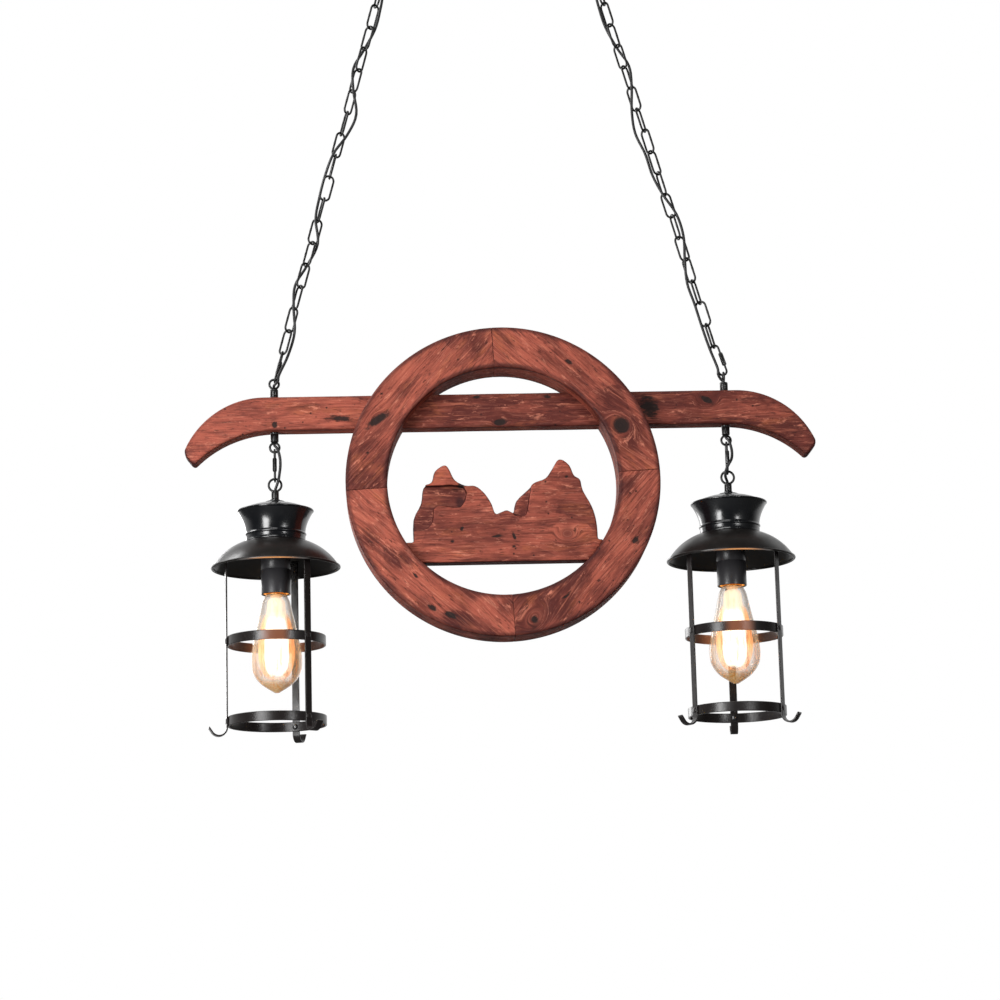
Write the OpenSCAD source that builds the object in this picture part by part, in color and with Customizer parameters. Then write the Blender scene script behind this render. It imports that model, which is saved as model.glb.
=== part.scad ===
// Two-lantern pendant light: a wooden yoke beam carries a thick wooden ring with a carved
// mountain board, hangs from two chains and holds one open lantern under each end.
// Origin: centre of the ceiling bracket's top face. X runs along the beam, Y away from the
// viewer, Z up, so the whole light lies below Z = 0.

/* [Ceiling fitting] */
// Length of the canopy
canopy_l = 350; // [330:5:400]
// Width of the canopy
canopy_w = 60; // [50:1:90]
// Height of the canopy
canopy_h = 25; // [22:1:40]
// Thickness of the canopy sheet
canopy_wall = 1.2; // [0.8:0.1:2]
// Corner radius of the canopy in plan
canopy_corner_r = 10; // [4:1:20]
// Distance from an end of the canopy to its chain eye
hook_edge = 35.5; // [30:0.5:45]
// Outer diameter of a ceiling eye
hook_d = 20; // [18:0.5:26]
// Wire diameter of a ceiling eye
hook_wire_d = 3.5; // [3:0.1:4.5]
// Height of the collar over a ceiling eye
hook_neck_h = 8; // [5:0.5:14]
// Length of the bracket strap
bracket_l = 240; // [220:5:300]
// Width of the bracket strap
bracket_w = 24; // [18:1:40]
// Thickness of the bracket strap
bracket_t = 2; // [1.5:0.1:4]
// Distance between the two ceiling screw holes
bracket_hole_gap = 200; // [160:5:210]
// Diameter of a ceiling screw hole
bracket_hole_d = 5.5; // [4:0.1:7]
// Distance between the two canopy screws
canopy_screw_gap = 120; // [80:5:140]

/* [Chains] */
// Number of plain links in a chain
chain_links = 17; // [10:1:24]
// Outer length of a chain link
link_l = 36; // [32:0.5:42]
// Outer width of a chain link
link_w = 15.5; // [14:0.1:18]
// Wire diameter of the links
link_wire_d = 2.8; // [2.4:0.1:3]
// Outer length of a screw link
quick_l = 43.5; // [40:0.5:50]
// Outer width of a screw link
quick_w = 13; // [12:0.1:15]
// Diameter of a screw link's sleeve
sleeve_d = 6.2; // [5:0.1:6.6]
// Length of a screw link's sleeve
sleeve_l = 17; // [12:0.5:20]

/* [Beam] */
// Length of a beam tip outside its lantern's line
tip_l = 114; // [108:1:130]
// Height of the beam
beam_h = 43; // [38:1:60]
// Thickness of the beam
beam_t = 28; // [24:1:36]
// Gap between the ring and a lantern's shade
shade_gap = 8; // [3:0.5:12]
// Radius of the upper curve at a beam end
beam_top_r = 109; // [100:1:120]
// Radius of the lower curve at a beam end
beam_low_r = 141; // [130:1:150]
// Distance from a lantern's line out to the start of the upper curve
top_curve_out = 12; // [8:1:20]
// Distance from a lantern's line out to the start of the lower curve
low_curve_out = -1; // [-4:1:8]
// Drop of a beam tip's outer corner below the beam's top
tip_drop = 72; // [60:1:76]
// Height of the slanted cut at a beam tip
tip_cut_h = 16; // [14:1:20]
// Inward slant of the cut at a beam tip
tip_cut_in = 12.7; // [8:0.1:16]

/* [Ring] */
// Outer diameter of the ring
ring_d = 394; // [380:1:430]
// Radial width of the ring
ring_w = 52; // [44:1:60]
// Depth of the ring from front to back
ring_depth = 56; // [50:1:64]
// Height of the beam's middle above the ring's centre
ring_drop = 96; // [84:1:100]
// Turn of the four butt joints from upright
ring_turn = 3; // [0:0.5:8]

/* [Mountain board] */
// Width of the skyline
board_w = 231; // [220:1:235]
// Height from the bottom edge to the higher peak
board_h = 131; // [120:1:140]
// Drop of the bottom edge below the ring's centre
board_drop = 101; // [96:1:110]
// Thickness of the board
board_t = 25; // [20:1:32]
// Depth of the carved lower fields
board_relief = 8; // [4:0.5:12]

/* [Eyes on the beam] */
// Outer diameter of a beam eye
eye_d = 15; // [14.5:0.1:18]
// Wire diameter of a beam eye
eye_wire_d = 3; // [2.6:0.1:3.2]
// Diameter of an eye's ferrule
ferrule_d = 10.4; // [9.8:0.1:12]
// Height of an upper ferrule
upper_ferrule_h = 13; // [8:0.5:16]
// Height of a lower ferrule
lower_ferrule_h = 13; // [8:0.5:16]
// Diameter of the threaded tube through the beam
tube_d = 7.2; // [6.8:0.1:7.6]

/* [Lantern top] */
// Outer diameter of the lamp loop
lamp_loop_d = 19; // [18:0.5:22]
// Wire diameter of the lamp loop
lamp_loop_wire_d = 3; // [2.6:0.1:3.2]
// Diameter of the collar and the threaded stem
stem_d = 9.6; // [9:0.1:11]
// Height of the collar under the lamp loop
collar_h = 10.8; // [9:0.1:14]
// Diameter of the stem's swivel pin
pin_d = 6; // [5.6:0.1:6.4]
// Diameter of the nut on the stem
nut_d = 12; // [11:0.5:14]
// Height of the nut on the stem
nut_h = 3; // [2:0.5:5]
// Diameter of the washer on the crown
washer_d = 25; // [20:1:32]
// Thickness of the washer
washer_t = 1; // [0.8:0.1:2]
// Radius of the crown's rim
crown_r = 47.8; // [46:0.2:52]
// Rise of the crown's domed lid
crown_rise = 12; // [8:1:16]
// Radius of the crown's waist
waist_r = 36.6; // [34:0.2:39]
// Height of the crown under its lid
crown_h = 38.5; // [34:0.5:46]
// Thickness of the lantern sheet
sheet_t = 1.2; // [0.8:0.1:1.6]

/* [Shade and socket] */
// Radius of the shade's flat top
shade_top_r = 38; // [37:0.5:42]
// Radius of the shade's rim
shade_r = 81; // [76:0.5:90]
// Radius of the shade's domed section
shade_dome_r = 73; // [70:1:80]
// Slope of the shade where the dome starts, in degrees
shade_slope = 17; // [14:1:20]
// Radius of the rolled bead on the rim
bead_r = 1.6; // [1.2:0.1:2.2]
// Diameter of the lamp socket
socket_d = 37; // [32:0.5:42]
// Height of the lamp socket
socket_h = 60; // [54:1:70]
// Gap between the shade's top and the socket
socket_gap = 6; // [4:0.5:12]

/* [Cage] */
// Outer radius of the two cage rings
cage_r = 61.4; // [60:0.2:64]
// Height of a cage ring's bar
bar_h = 12; // [9:0.5:14]
// Thickness of the cage bars
bar_t = 2; // [1.6:0.1:2.8]
// Width of a cage leg
leg_w = 9.5; // [8:0.5:13]
// Number of legs
leg_count = 3; // [3:1:4]
// Distance from the shade's flat top down to the middle ring
middle_drop = 126; // [116:1:136]
// Distance from the shade's flat top down to the lower ring
lower_drop = 226; // [216:1:240]
// Length of a leg below the lower ring's middle
leg_tail = 8; // [6:0.5:16]
// Radius of a hook's bend, to the middle of the bar
hook_bend_r = 10; // [9:0.5:13]
// Diameter of a rivet's shank
rivet_d = 4; // [2.5:0.1:5]
// Turn of the left lantern about its stem, in degrees
left_yaw = 70; // [0:1:120]
// Turn of the right lantern about its stem, in degrees
right_yaw = 87; // [0:1:120]

/* [Bulb] */
// Widest diameter of the bulb
bulb_d = 64; // [60:1:66]
// Length of the glass
glass_l = 122; // [110:1:130]
// Thickness of the glass
glass_t = 0.9; // [0.8:0.1:1.2]
// Diameter of the screw base
base_d = 26; // [25:0.1:27]
// Length of the screw base
base_l = 24; // [22:0.5:28]
// Number of points in the filament's zigzag
filament_points = 10; // [8:2:14]

/* [Cords] */
// Diameter of the cord
cord_d = 3.6; // [3:0.1:3.8]

/* [Hidden] */
$fn = 72;

// Clearances
seat_gap = 0.3;
run_gap = 0.06;
fit_gap = 0.1;
overrun = 2;

// Ceiling fitting
hook_thread_r = 3;
hook_nut_r = 6;
hook_nut_h = 5;
hook_mid_r = (hook_d - hook_wire_d) / 2;
hook_x = canopy_l / 2 - hook_edge;
canopy_screw_r = 2;
canopy_head_r = 5;
canopy_head_h = 3;
block_l = 40;
block_w = 18;
block_h = 14;
block_bore_r = 2;
block_edge = 8;
wire_side = 6;
grip_offset = 20;
grip_flange_r = 5.5;
grip_flange_h = 3;
grip_sleeve_r = 4;
grip_sleeve_h = 5;

// How far a loop sinks into the collar that carries it
loop_sink = 0.8;

// Chain: each link turned about the chain's line, in degrees toward the front
chain_turn_left = [42, -42, 55, -40, 44, -24, 75, -17, 80, -40, 72, -50, 40, -55, 40,
    -45, 65];
chain_turn_right = [63, -20, 60, -50, 20, -75, 17, -75, 36, -50, 60, -35, 50, -45, 40,
    -50, 60];
link_seat = link_wire_d + seat_gap;
link_mid_l = link_l - link_wire_d;
link_pitch = link_mid_l - link_seat;
quick_mid_l = quick_l - link_wire_d;
eye_mid_r = (eye_d - eye_wire_d) / 2;
eye_seat = (eye_wire_d + link_wire_d) / 2 + seat_gap;
hook_seat = (hook_wire_d + link_wire_d) / 2 + seat_gap;
quick_low = eye_mid_r - eye_seat;
quick_high = quick_low + quick_mid_l;
chain_reach = quick_high + chain_links * link_pitch - hook_seat + hook_mid_r;
eye_x = ring_d / 2 + shade_gap + shade_r;
chain_tilt = asin((eye_x - hook_x) / chain_reach);
// Lean of a screw link that hangs on an eye standing across the chain's tilt
across_lean = atan(eye_mid_r * sin(chain_tilt)
    / (quick_high - eye_mid_r * cos(chain_tilt)));

// Heights of the beam and its eyes
hook_z = -(canopy_h + hook_neck_h + hook_d / 2 - loop_sink);
eye_z = hook_z - chain_reach * cos(chain_tilt);
beam_top = eye_z - upper_ferrule_h - eye_d / 2 + loop_sink;
beam_low = beam_top - beam_h;
beam_mid = beam_top - beam_h / 2;
beam_end = eye_x + tip_l;
beam_top_start = eye_x + top_curve_out;
beam_low_start = eye_x + low_curve_out;
ferrule_r = ferrule_d / 2;
tube_r = tube_d / 2;
tube_bore_r = cord_d / 2 + fit_gap * 4;
tube_reach = 5;

// Ring and board
ring_r = ring_d / 2;
ring_in_r = ring_r - ring_w;
ring_z = beam_mid - ring_drop;
ring_back = beam_t / 2;
ring_front = ring_back - ring_depth;
ring_mid_y = (ring_back + ring_front) / 2;
cross_x = sqrt(pow(ring_r - ring_w / 2, 2) - pow(ring_drop, 2));
screw_r = 2;
screw_head_r = 4;
screw_head_h = 3;
screw_l = 44;
screw_pitch = 24;
board_steps = 3;
// Skyline from the left ledge to the right one, as shares of the board's width and height
skyline_shares = [[-0.49, 0.2], [-0.489, 0.43], [-0.447, 0.585], [-0.432, 0.74],
    [-0.387, 0.783], [-0.37, 0.885], [-0.316, 0.95], [-0.29, 0.905], [-0.261, 0.8],
    [-0.203, 0.745], [-0.15, 0.74], [-0.1, 0.665], [-0.064, 0.56], [-0.046, 0.468],
    [-0.015, 0.48], [0.018, 0.5], [0.053, 0.478], [0.07, 0.595], [0.14, 0.712],
    [0.173, 0.765], [0.231, 0.803], [0.268, 0.89], [0.309, 0.99], [0.363, 0.93],
    [0.386, 0.83], [0.42, 0.785], [0.433, 0.68], [0.48, 0.52], [0.502, 0.37],
    [0.507, 0.2]];
// Carved lower fields in the front layer, as the same shares
left_field_shares = [[-0.56, 0.312], [-0.489, 0.312], [-0.42, 0.33], [-0.385, 0.4],
    [-0.365, 0.554], [-0.232, 0.535], [-0.214, 0.735], [-0.44, 0.745], [-0.56, 0.745]];
right_field_shares = [[0.053, 0.45], [0.118, 0.443], [0.14, 0.6], [0.15, 0.76],
    [0.1, 0.8], [0.02, 0.62], [0.045, 0.5]];
board_front = ring_mid_y - board_t / 2;
board_split = board_front + board_relief;

// Lantern heights, counted down from the beam's underside
low_eye_z = -(lower_ferrule_h + eye_d / 2 - loop_sink);
link_high = low_eye_z - eye_mid_r + eye_seat;
link_low = link_high - quick_mid_l;
loop_mid_r = (lamp_loop_d - lamp_loop_wire_d) / 2;
loop_seat = (lamp_loop_wire_d + link_wire_d) / 2 + seat_gap;
loop_z = link_low + loop_seat - loop_mid_r;
collar_top = loop_z - loop_mid_r + loop_sink;
collar_low = collar_top - collar_h;
pin_r = pin_d / 2;
pin_h = 7;
pin_bore_r = 2;
stem_r = stem_d / 2;
nut_top = collar_low - seat_gap;
nut_low = nut_top - nut_h;
crown_top = nut_low - washer_t;
crown_rim = crown_top - crown_rise;
crown_low = crown_rim - crown_h;
crown_dome_r = (crown_r * crown_r + crown_rise * crown_rise) / (2 * crown_rise);
crown_foot_h = 4;
crown_steps = 12;
crown_power = 1.9;
crown_bead_r = 1.3;
crown_bead_up = 9;
shade_z = crown_low;
dome_x = shade_top_r - shade_dome_r * sin(shade_slope);
dome_z = shade_z - shade_dome_r * cos(shade_slope);
rim_z = dome_z + sqrt(pow(shade_dome_r, 2) - pow(shade_r - dome_x, 2));
socket_top = shade_z - sheet_t - socket_gap;
socket_low = socket_top - socket_h;
socket_r = socket_d / 2;
socket_cap_h = 12;
socket_cap_r = 11;
socket_thread_h = 7;
middle_z = shade_z - middle_drop;
lower_z = shade_z - lower_drop;

// Cage
leg_in_r = cage_r + fit_gap * 2;
leg_out_r = leg_in_r + bar_t;
leg_mid_r = leg_in_r + bar_t / 2;
leg_low = lower_z - leg_tail;
leg_top = dome_z + sqrt(pow(shade_dome_r - sheet_t, 2) - pow(leg_out_r - dome_x, 2))
    - seat_gap;
rivet_r = rivet_d / 2;
rivet_head_r = rivet_d * 0.9;
rivet_head_h = 1.2;
rivet_in_r = sqrt(pow(cage_r - bar_t, 2) - pow(rivet_head_r, 2)) - run_gap;

// Bulb
bulb_r = bulb_d / 2;
base_r = base_d / 2;
glass_top = socket_low - fit_gap * 10;
base_low = glass_top + seat_gap;
contact_r = 5;
contact_h = 3;
// Half outline of the glass from its neck down, as shares of its length and widest radius
glass_shares = [[0, 0.42], [0.03, 0.49], [0.08, 0.56], [0.2, 0.66], [0.34, 0.78],
    [0.44, 0.87], [0.56, 0.965], [0.67, 1], [0.77, 0.965], [0.85, 0.82], [0.91, 0.62],
    [0.955, 0.38], [1, 0.1]];
glass_steps = 2;
mount_r = 3;
mount_flare_r = 8;
mount_flare_h = 12;
mount_l = 92;
wire_r = 0.5;
filament_r = 0.9;
filament_sides = 8;
filament_top_r = 8;
filament_low_r = 9.5;
filament_top = 30;
filament_low = 88;
corner_share = 0.05;

// Cord route at the beam's top: inward, away from the viewer, up from the eye's centre
eye_route_left = [[0, 0, -9], [0, 0, -6], [0.2, -3.4, -2.4], [5, -5, 3], [6.6, -2.6, 12]];
eye_route_right = [[0, 0, -9], [0, 0, -6], [3.8, -0.5, -2], [7, -3, 3.5],
    [7.6, -3.6, 12]];
// Cord route up the chain: turns toward the front in degrees, and distances from its line
cord_turn_left = [-24, 0, 96, 187, 272, 370, 475, 565, 565, 470, 376, 371, 445, 532, 622,
    718, 742, 765];
cord_off_left = [8, 8, 7, 7, 7, 7.5, 7, 7, 7.5, 7.5, 8, 12.5, 7.5, 7, 7, 7, 7.5, 8];
cord_turn_right = [31, 21, 20, 5, 75, 152, 151, 61, -10, -7, 5, 12, 97, 182, 267, 355, 368,
    398];
cord_off_right = [7.5, 7.5, 7.5, 7.5, 7, 7, 7, 7.5, 7.5, 8, 12.5, 8, 7, 7, 7, 7, 7.5,
    8.6];
// Cord route under the beam: inward, away from the viewer, up from the beam's underside
low_route_left = [[0, 0, -10], [0, 0, -13.8], [0, -3.2, -17.4], [3.4, -4.8, -22],
    [6.4, -3.2, -32], [7, -2.2, -43], [5.8, -3, -54], [4.6, -4, -62], [2.6, -3, -68],
    [0.6, -0.8, -73], [0, 0, -76]];
low_route_right = [[0, 0, -10], [0, 0, -13.8], [0, -3.2, -17.4], [-3.4, -4.8, -22],
    [-6, -5, -33], [-5.8, -6.8, -42], [-3.8, -9.4, -48], [-1, -10.4, -52.5],
    [2.6, -8.6, -60], [3.4, -5.6, -67], [1, -1.4, -73], [0, 0, -76]];
cord_sides = 8;
cord_r = cord_d / 2;

// Point on a smooth curve through four neighbours, at share t from the second to the third
function between(a, b, c, d, t) =
    0.5 * (2 * b + (c - a) * t + (2 * a - 5 * b + 4 * c - d) * t * t
        + (3 * b - a - 3 * c + d) * t * t * t);

// The points p, each stretch cut into n steps of a smooth curve through them
function smooth(p, n) = [
    for (i = [0:len(p) - 2], k = [0:n - 1])
        between(p[max(i - 1, 0)], p[i], p[i + 1], p[min(i + 2, len(p) - 1)], k / n),
    p[len(p) - 1]];

// Shares turned into sizes
function sized(p, w, h) = [for (q = p) [q[0] * w, q[1] * h]];

function unit(v) = v / norm(v);

// A point beside the chain: up along it, inward, toward the front, for the left side
function beside(up, inward, front) = [
    -eye_x + up * sin(chain_tilt) + inward * cos(chain_tilt),
    -front,
    eye_z + up * cos(chain_tilt) - inward * sin(chain_tilt)];

// Height along the chain of the joint over link k, where link 0 is the screw link
function joint_up(k) = quick_high + k * link_pitch - link_seat / 2;

function chain_points(turns, offs) = [
    for (k = [0:len(turns) - 1])
        beside(joint_up(k), offs[k] * cos(turns[k]), offs[k] * sin(turns[k]))];

function upper_route(start, turns, offs) = concat(
    [[-eye_x, 0, beam_low - lower_ferrule_h + tube_reach], [-eye_x, 0, beam_top]],
    [for (q = start) [-eye_x + q[0], q[1], eye_z + q[2]]],
    chain_points(turns, offs),
    [[-hook_x + grip_offset, 0, -canopy_h - grip_flange_h - overrun],
    [-hook_x + grip_offset, 0, -canopy_h + grip_sleeve_h + overrun],
    [-hook_x + grip_offset * 2, wire_side, -bracket_t - block_h / 2],
    [-block_l / 2, wire_side, -bracket_t - block_h / 2]]);

function lower_route(route) = concat(
    [[-eye_x, 0, beam_low - lower_ferrule_h + tube_reach]],
    [for (q = route) [-eye_x + q[0], q[1], beam_low + q[2]]],
    [[-eye_x, 0, beam_low + collar_low + pin_h]]);

// Outline of a round tube swept along p, as rings of points, each set square to its side
function rings(p, side, r, n) = [
    for (i = [0:len(p) - 1])
        let(t = unit(p[min(i + 1, len(p) - 1)] - p[max(i - 1, 0)]),
            u = unit(cross(side[i], t)),
            v = cross(t, u))
        for (k = [0:n - 1]) p[i] + r * (u * cos(k * 360 / n) + v * sin(k * 360 / n))];

function walls(m, n) = [
    for (i = [0:m - 2], k = [0:n - 1])
        let(a = i * n + k, b = i * n + (k + 1) % n)
        each [[a, a + n, b], [b, a + n, b + n]]];

// A closed round tube of n sides and radius r, swept along p
module tube(p, side, r, n) {
    polyhedron(rings(p, side, r, n), concat([[for (k = [0:n - 1]) k]], walls(len(p), n),
        [[for (k = [n - 1:-1:0]) (len(p) - 1) * n + k]]));
}

module cord(p) {
    color([0.06, 0.06, 0.06]) tube(p, [for (q = p) [0, 1, 0]], cord_r, cord_sides);
}

module round_plate(l, w, r) {
    square([l - 2 * r, w], center = true);
    square([l, w - 2 * r], center = true);
    for (x = [-1, 1], y = [-1, 1])
        translate([x * (l / 2 - r), y * (w / 2 - r)]) circle(r = r);
}

module wire_ring(mid_r, wire_d) {
    rotate([90, 0, 0]) rotate_extrude() translate([mid_r, 0]) circle(d = wire_d, $fn = 32);
}

// A long link round the origin, standing in the XZ plane
module link(l, w, wire_d) {
    mid_r = (w - wire_d) / 2;
    run = l - w;
    for (up = [0, 1])
        mirror([0, 0, up]) translate([0, 0, run / 2]) rotate([90, 0, 0])
            rotate_extrude(angle = 180) translate([mid_r, 0]) circle(d = wire_d, $fn = 32);
    for (x = [-mid_r, mid_r])
        translate([x, 0, -run / 2]) cylinder(d = wire_d, h = run, $fn = 32);
}

// A link with a threaded sleeve on one leg
module screw_link() {
    leg_x = (quick_w - link_wire_d) / 2;
    color([0.09, 0.09, 0.09]) {
        link(quick_l, quick_w, link_wire_d);
        translate([-leg_x, 0, -sleeve_l / 2]) difference() {
            cylinder(d = sleeve_d, h = sleeve_l, $fn = 32);
            translate([0, 0, -overrun])
                cylinder(d = link_wire_d + run_gap * 2, h = sleeve_l + overrun * 2, $fn = 32);
        }
    }
}

// An eye standing on its collar at the origin
module eye_piece(neck_r, neck_h, loop_d, wire_d) {
    cylinder(r = neck_r, h = neck_h);
    translate([0, 0, neck_h + loop_d / 2 - loop_sink])
        wire_ring((loop_d - wire_d) / 2, wire_d);
}

// A beam eye, bored for the cord and counterbored for the tube through the beam
module bored_eye(neck_h) {
    color([0.09, 0.09, 0.09]) difference() {
        eye_piece(ferrule_r, neck_h, eye_d, eye_wire_d);
        translate([0, 0, -overrun])
            cylinder(r = tube_bore_r, h = neck_h + eye_wire_d + overrun * 2, $fn = 32);
        translate([0, 0, -overrun])
            cylinder(r = tube_r + fit_gap, h = tube_reach + seat_gap + overrun);
    }
}

module left_side() {
    children();
}

module right_side() {
    mirror([1, 0, 0]) children();
}

module on_chain(up) {
    translate([-eye_x, 0, eye_z]) rotate([0, chain_tilt, 0]) translate([0, 0, up]) children();
}

module ceiling_bracket() {
    color([0.7, 0.7, 0.68]) difference() {
        translate([-bracket_l / 2, -bracket_w / 2, -bracket_t])
            cube([bracket_l, bracket_w, bracket_t]);
        for (x = [-bracket_hole_gap / 2, bracket_hole_gap / 2])
            translate([x, 0, -bracket_t - overrun])
                cylinder(d = bracket_hole_d, h = bracket_t + overrun * 2);
        for (x = [-canopy_screw_gap / 2, canopy_screw_gap / 2])
            translate([x, 0, -bracket_t - overrun])
                cylinder(r = canopy_screw_r + fit_gap, h = bracket_t + overrun * 2);
    }
}

module canopy() {
    color([0.08, 0.08, 0.08]) translate([0, 0, -canopy_h]) difference() {
        linear_extrude(canopy_h) round_plate(canopy_l, canopy_w, canopy_corner_r);
        translate([0, 0, canopy_wall]) linear_extrude(canopy_h)
            round_plate(canopy_l - canopy_wall * 2, canopy_w - canopy_wall * 2,
                canopy_corner_r - canopy_wall);
        for (x = [-canopy_screw_gap / 2, canopy_screw_gap / 2])
            translate([x, 0, -overrun])
                cylinder(r = canopy_screw_r + fit_gap, h = canopy_wall + overrun * 2);
        for (x = [-hook_x, hook_x])
            translate([x, 0, -overrun])
                cylinder(r = hook_thread_r + fit_gap, h = canopy_wall + overrun * 2);
        for (x = [-hook_x + grip_offset, hook_x - grip_offset])
            translate([x, 0, -overrun])
                cylinder(r = grip_sleeve_r + fit_gap, h = canopy_wall + overrun * 2);
    }
}

module canopy_screws() {
    color([0.12, 0.12, 0.12])
        for (x = [-canopy_screw_gap / 2, canopy_screw_gap / 2])
            translate([x, 0, -canopy_h - canopy_head_h]) {
                cylinder(r = canopy_head_r, h = canopy_head_h);
                cylinder(r = canopy_screw_r, h = canopy_h + canopy_head_h - seat_gap);
            }
}

module ceiling_eye() {
    color([0.08, 0.08, 0.08]) translate([-hook_x, 0, -canopy_h]) {
        mirror([0, 0, 1]) eye_piece(hook_nut_r, hook_neck_h, hook_d, hook_wire_d);
        cylinder(r = hook_thread_r, h = canopy_wall + hook_nut_h);
        translate([0, 0, canopy_wall]) cylinder(r = hook_nut_r, h = hook_nut_h, $fn = 6);
    }
}

module terminal_block() {
    color([0.9, 0.9, 0.86]) difference() {
        translate([-block_l / 2, -block_w / 2, -bracket_t - block_h])
            cube([block_l, block_w, block_h]);
        for (x = [-block_l / 2 + block_edge, 0, block_l / 2 - block_edge])
            translate([x, 0, -bracket_t - block_h - overrun])
                cylinder(r = block_bore_r, h = block_h / 2);
    }
}

module cord_grips() {
    color([0.05, 0.05, 0.05])
        for (x = [-hook_x + grip_offset, hook_x - grip_offset])
            translate([x, 0, -canopy_h - grip_flange_h]) difference() {
                union() {
                    cylinder(r = grip_flange_r, h = grip_flange_h);
                    cylinder(r = grip_sleeve_r, h = grip_flange_h + grip_sleeve_h);
                }
                translate([0, 0, -overrun])
                    cylinder(r = cord_r + fit_gap, h = grip_flange_h + grip_sleeve_h
                        + overrun * 2);
            }
}

module chain(turns) {
    color([0.09, 0.09, 0.09])
        for (k = [0:chain_links - 1])
            on_chain(quick_high - link_seat + k * link_pitch + link_mid_l / 2)
                rotate([0, 0, -turns[k % len(turns)]]) link(link_l, link_w, link_wire_d);
}

// Hangs down the chain's line, leaning outward about its upper end
module top_link(turn, lean) {
    on_chain(quick_high) rotate([0, lean, 0]) translate([0, 0, -quick_mid_l / 2])
        rotate([0, 0, -turn]) screw_link();
}

module upper_eye(turn) {
    translate([-eye_x, 0, beam_top]) rotate([0, 0, turn]) bored_eye(upper_ferrule_h);
}

module lower_eye() {
    translate([-eye_x, 0, beam_low]) mirror([0, 0, 1]) bored_eye(lower_ferrule_h);
}

module through_tube() {
    color([0.5, 0.48, 0.42]) translate([-eye_x, 0, beam_low - tube_reach]) difference() {
        cylinder(r = tube_r, h = beam_h + tube_reach * 2);
        translate([0, 0, -overrun])
            cylinder(r = tube_bore_r, h = beam_h + tube_reach * 2 + overrun * 2);
    }
}

// Outline of the right half of the beam, with its top at Z = 0
module half_beam() {
    difference() {
        union() {
            translate([0, -beam_h]) square([beam_top_start, beam_h]);
            intersection() {
                translate([beam_top_start, -beam_top_r]) circle(r = beam_top_r, $fn = 128);
                polygon([[beam_low_start, 0], [beam_end, 0], [beam_end, -tip_drop],
                    [beam_end - tip_cut_in, -tip_drop - tip_cut_h],
                    [beam_low_start, -tip_drop - tip_cut_h]]);
            }
        }
        translate([beam_low_start, -beam_h - beam_low_r]) circle(r = beam_low_r, $fn = 128);
    }
}

module beam() {
    color([0.55, 0.27, 0.22]) difference() {
        translate([0, beam_t / 2, beam_top]) rotate([90, 0, 0]) linear_extrude(beam_t)
            union() {
                half_beam();
                mirror([1, 0]) half_beam();
            }
        for (x = [-eye_x, eye_x])
            translate([x, 0, beam_low - overrun]) {
                cylinder(r = tube_r + fit_gap, h = beam_h + overrun * 2);
                cylinder(r = ferrule_r + fit_gap, h = overrun);
            }
        at_frame_screws() {
            rotate([90, 0, 0]) translate([0, 0, -overrun])
                cylinder(r = screw_r + fit_gap, h = beam_t + overrun * 2);
            rotate([90, 0, 0]) translate([0, 0, -overrun])
                cylinder(r = screw_head_r + fit_gap, h = screw_head_h + overrun);
        }
    }
}

// Places of the frame screws, on the beam's back face
module at_frame_screws() {
    for (side = [-1, 1], step = [-1, 1])
        translate([side * cross_x + step * screw_pitch / 2, beam_t / 2, beam_mid])
            for (k = [0:$children - 1]) children(k);
}

module frame_screws() {
    color([0.6, 0.58, 0.5]) at_frame_screws() rotate([90, 0, 0]) {
        cylinder(r = screw_head_r, h = screw_head_h);
        cylinder(r = screw_r, h = screw_l);
    }
}

// Quarter of the ring: 0 is upper right, then upper left, lower left, lower right
module ring_quarter(quarter) {
    color([0.56, 0.26, 0.2]) difference() {
        translate([0, ring_back, ring_z]) rotate([90, 0, 0]) intersection() {
            difference() {
                cylinder(r = ring_r, h = ring_depth, $fn = 180);
                translate([0, 0, -overrun])
                    cylinder(r = ring_in_r, h = ring_depth + overrun * 2, $fn = 180);
            }
            rotate([0, 0, ring_turn + quarter * 90]) translate([0, 0, -overrun])
                cube([ring_r + overrun, ring_r + overrun, ring_depth + overrun * 2]);
        }
        translate([-ring_r - overrun, -beam_t / 2, beam_low])
            cube([(ring_r + overrun) * 2, beam_t + overrun, beam_h]);
        at_frame_screws() rotate([90, 0, 0]) cylinder(r = screw_r + fit_gap, h = screw_l
            + overrun);
    }
}

// Board outline round the ring's centre: skyline, ledges and a flat bottom edge
module board_outline() {
    low = -board_drop;
    side = ring_in_r;
    ledge = low + skyline_shares[0][1] * board_h;
    top = smooth(sized(skyline_shares, board_w, board_h), board_steps);
    intersection() {
        polygon(concat([[-side, low], [-side, ledge]],
            [for (q = top) [q[0], low + q[1]]],
            [[side, ledge], [side, low]]));
        circle(r = ring_in_r - seat_gap, $fn = 180);
    }
}

module field(shares) {
    translate([0, -board_drop]) polygon(smooth(sized(shares, board_w, board_h), board_steps));
}

module board_layer(front, t) {
    color([0.55, 0.28, 0.23]) translate([0, front + t, ring_z]) rotate([90, 0, 0])
        linear_extrude(t) children();
}

module mountain_back() {
    board_layer(board_split, board_t - board_relief) board_outline();
}

module mountain_front() {
    board_layer(board_front, board_relief) difference() {
        board_outline();
        field(left_field_shares);
        field(right_field_shares);
    }
}

// Everything of a lantern is drawn round the stem's line, from the beam's underside down
module under_beam(yaw) {
    translate([-eye_x, 0, beam_low]) rotate([0, 0, yaw]) children();
}

module hang_link() {
    under_beam(90) translate([0, 0, (link_high + link_low) / 2]) screw_link();
}

module lamp_loop() {
    color([0.09, 0.09, 0.09]) under_beam(0) difference() {
        union() {
            translate([0, 0, loop_z]) wire_ring(loop_mid_r, lamp_loop_wire_d);
            translate([0, 0, collar_low]) cylinder(r = stem_r, h = collar_h);
        }
        translate([0, 0, collar_low - overrun])
            cylinder(r = pin_r + run_gap, h = collar_h + lamp_loop_wire_d + overrun);
    }
}

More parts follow.
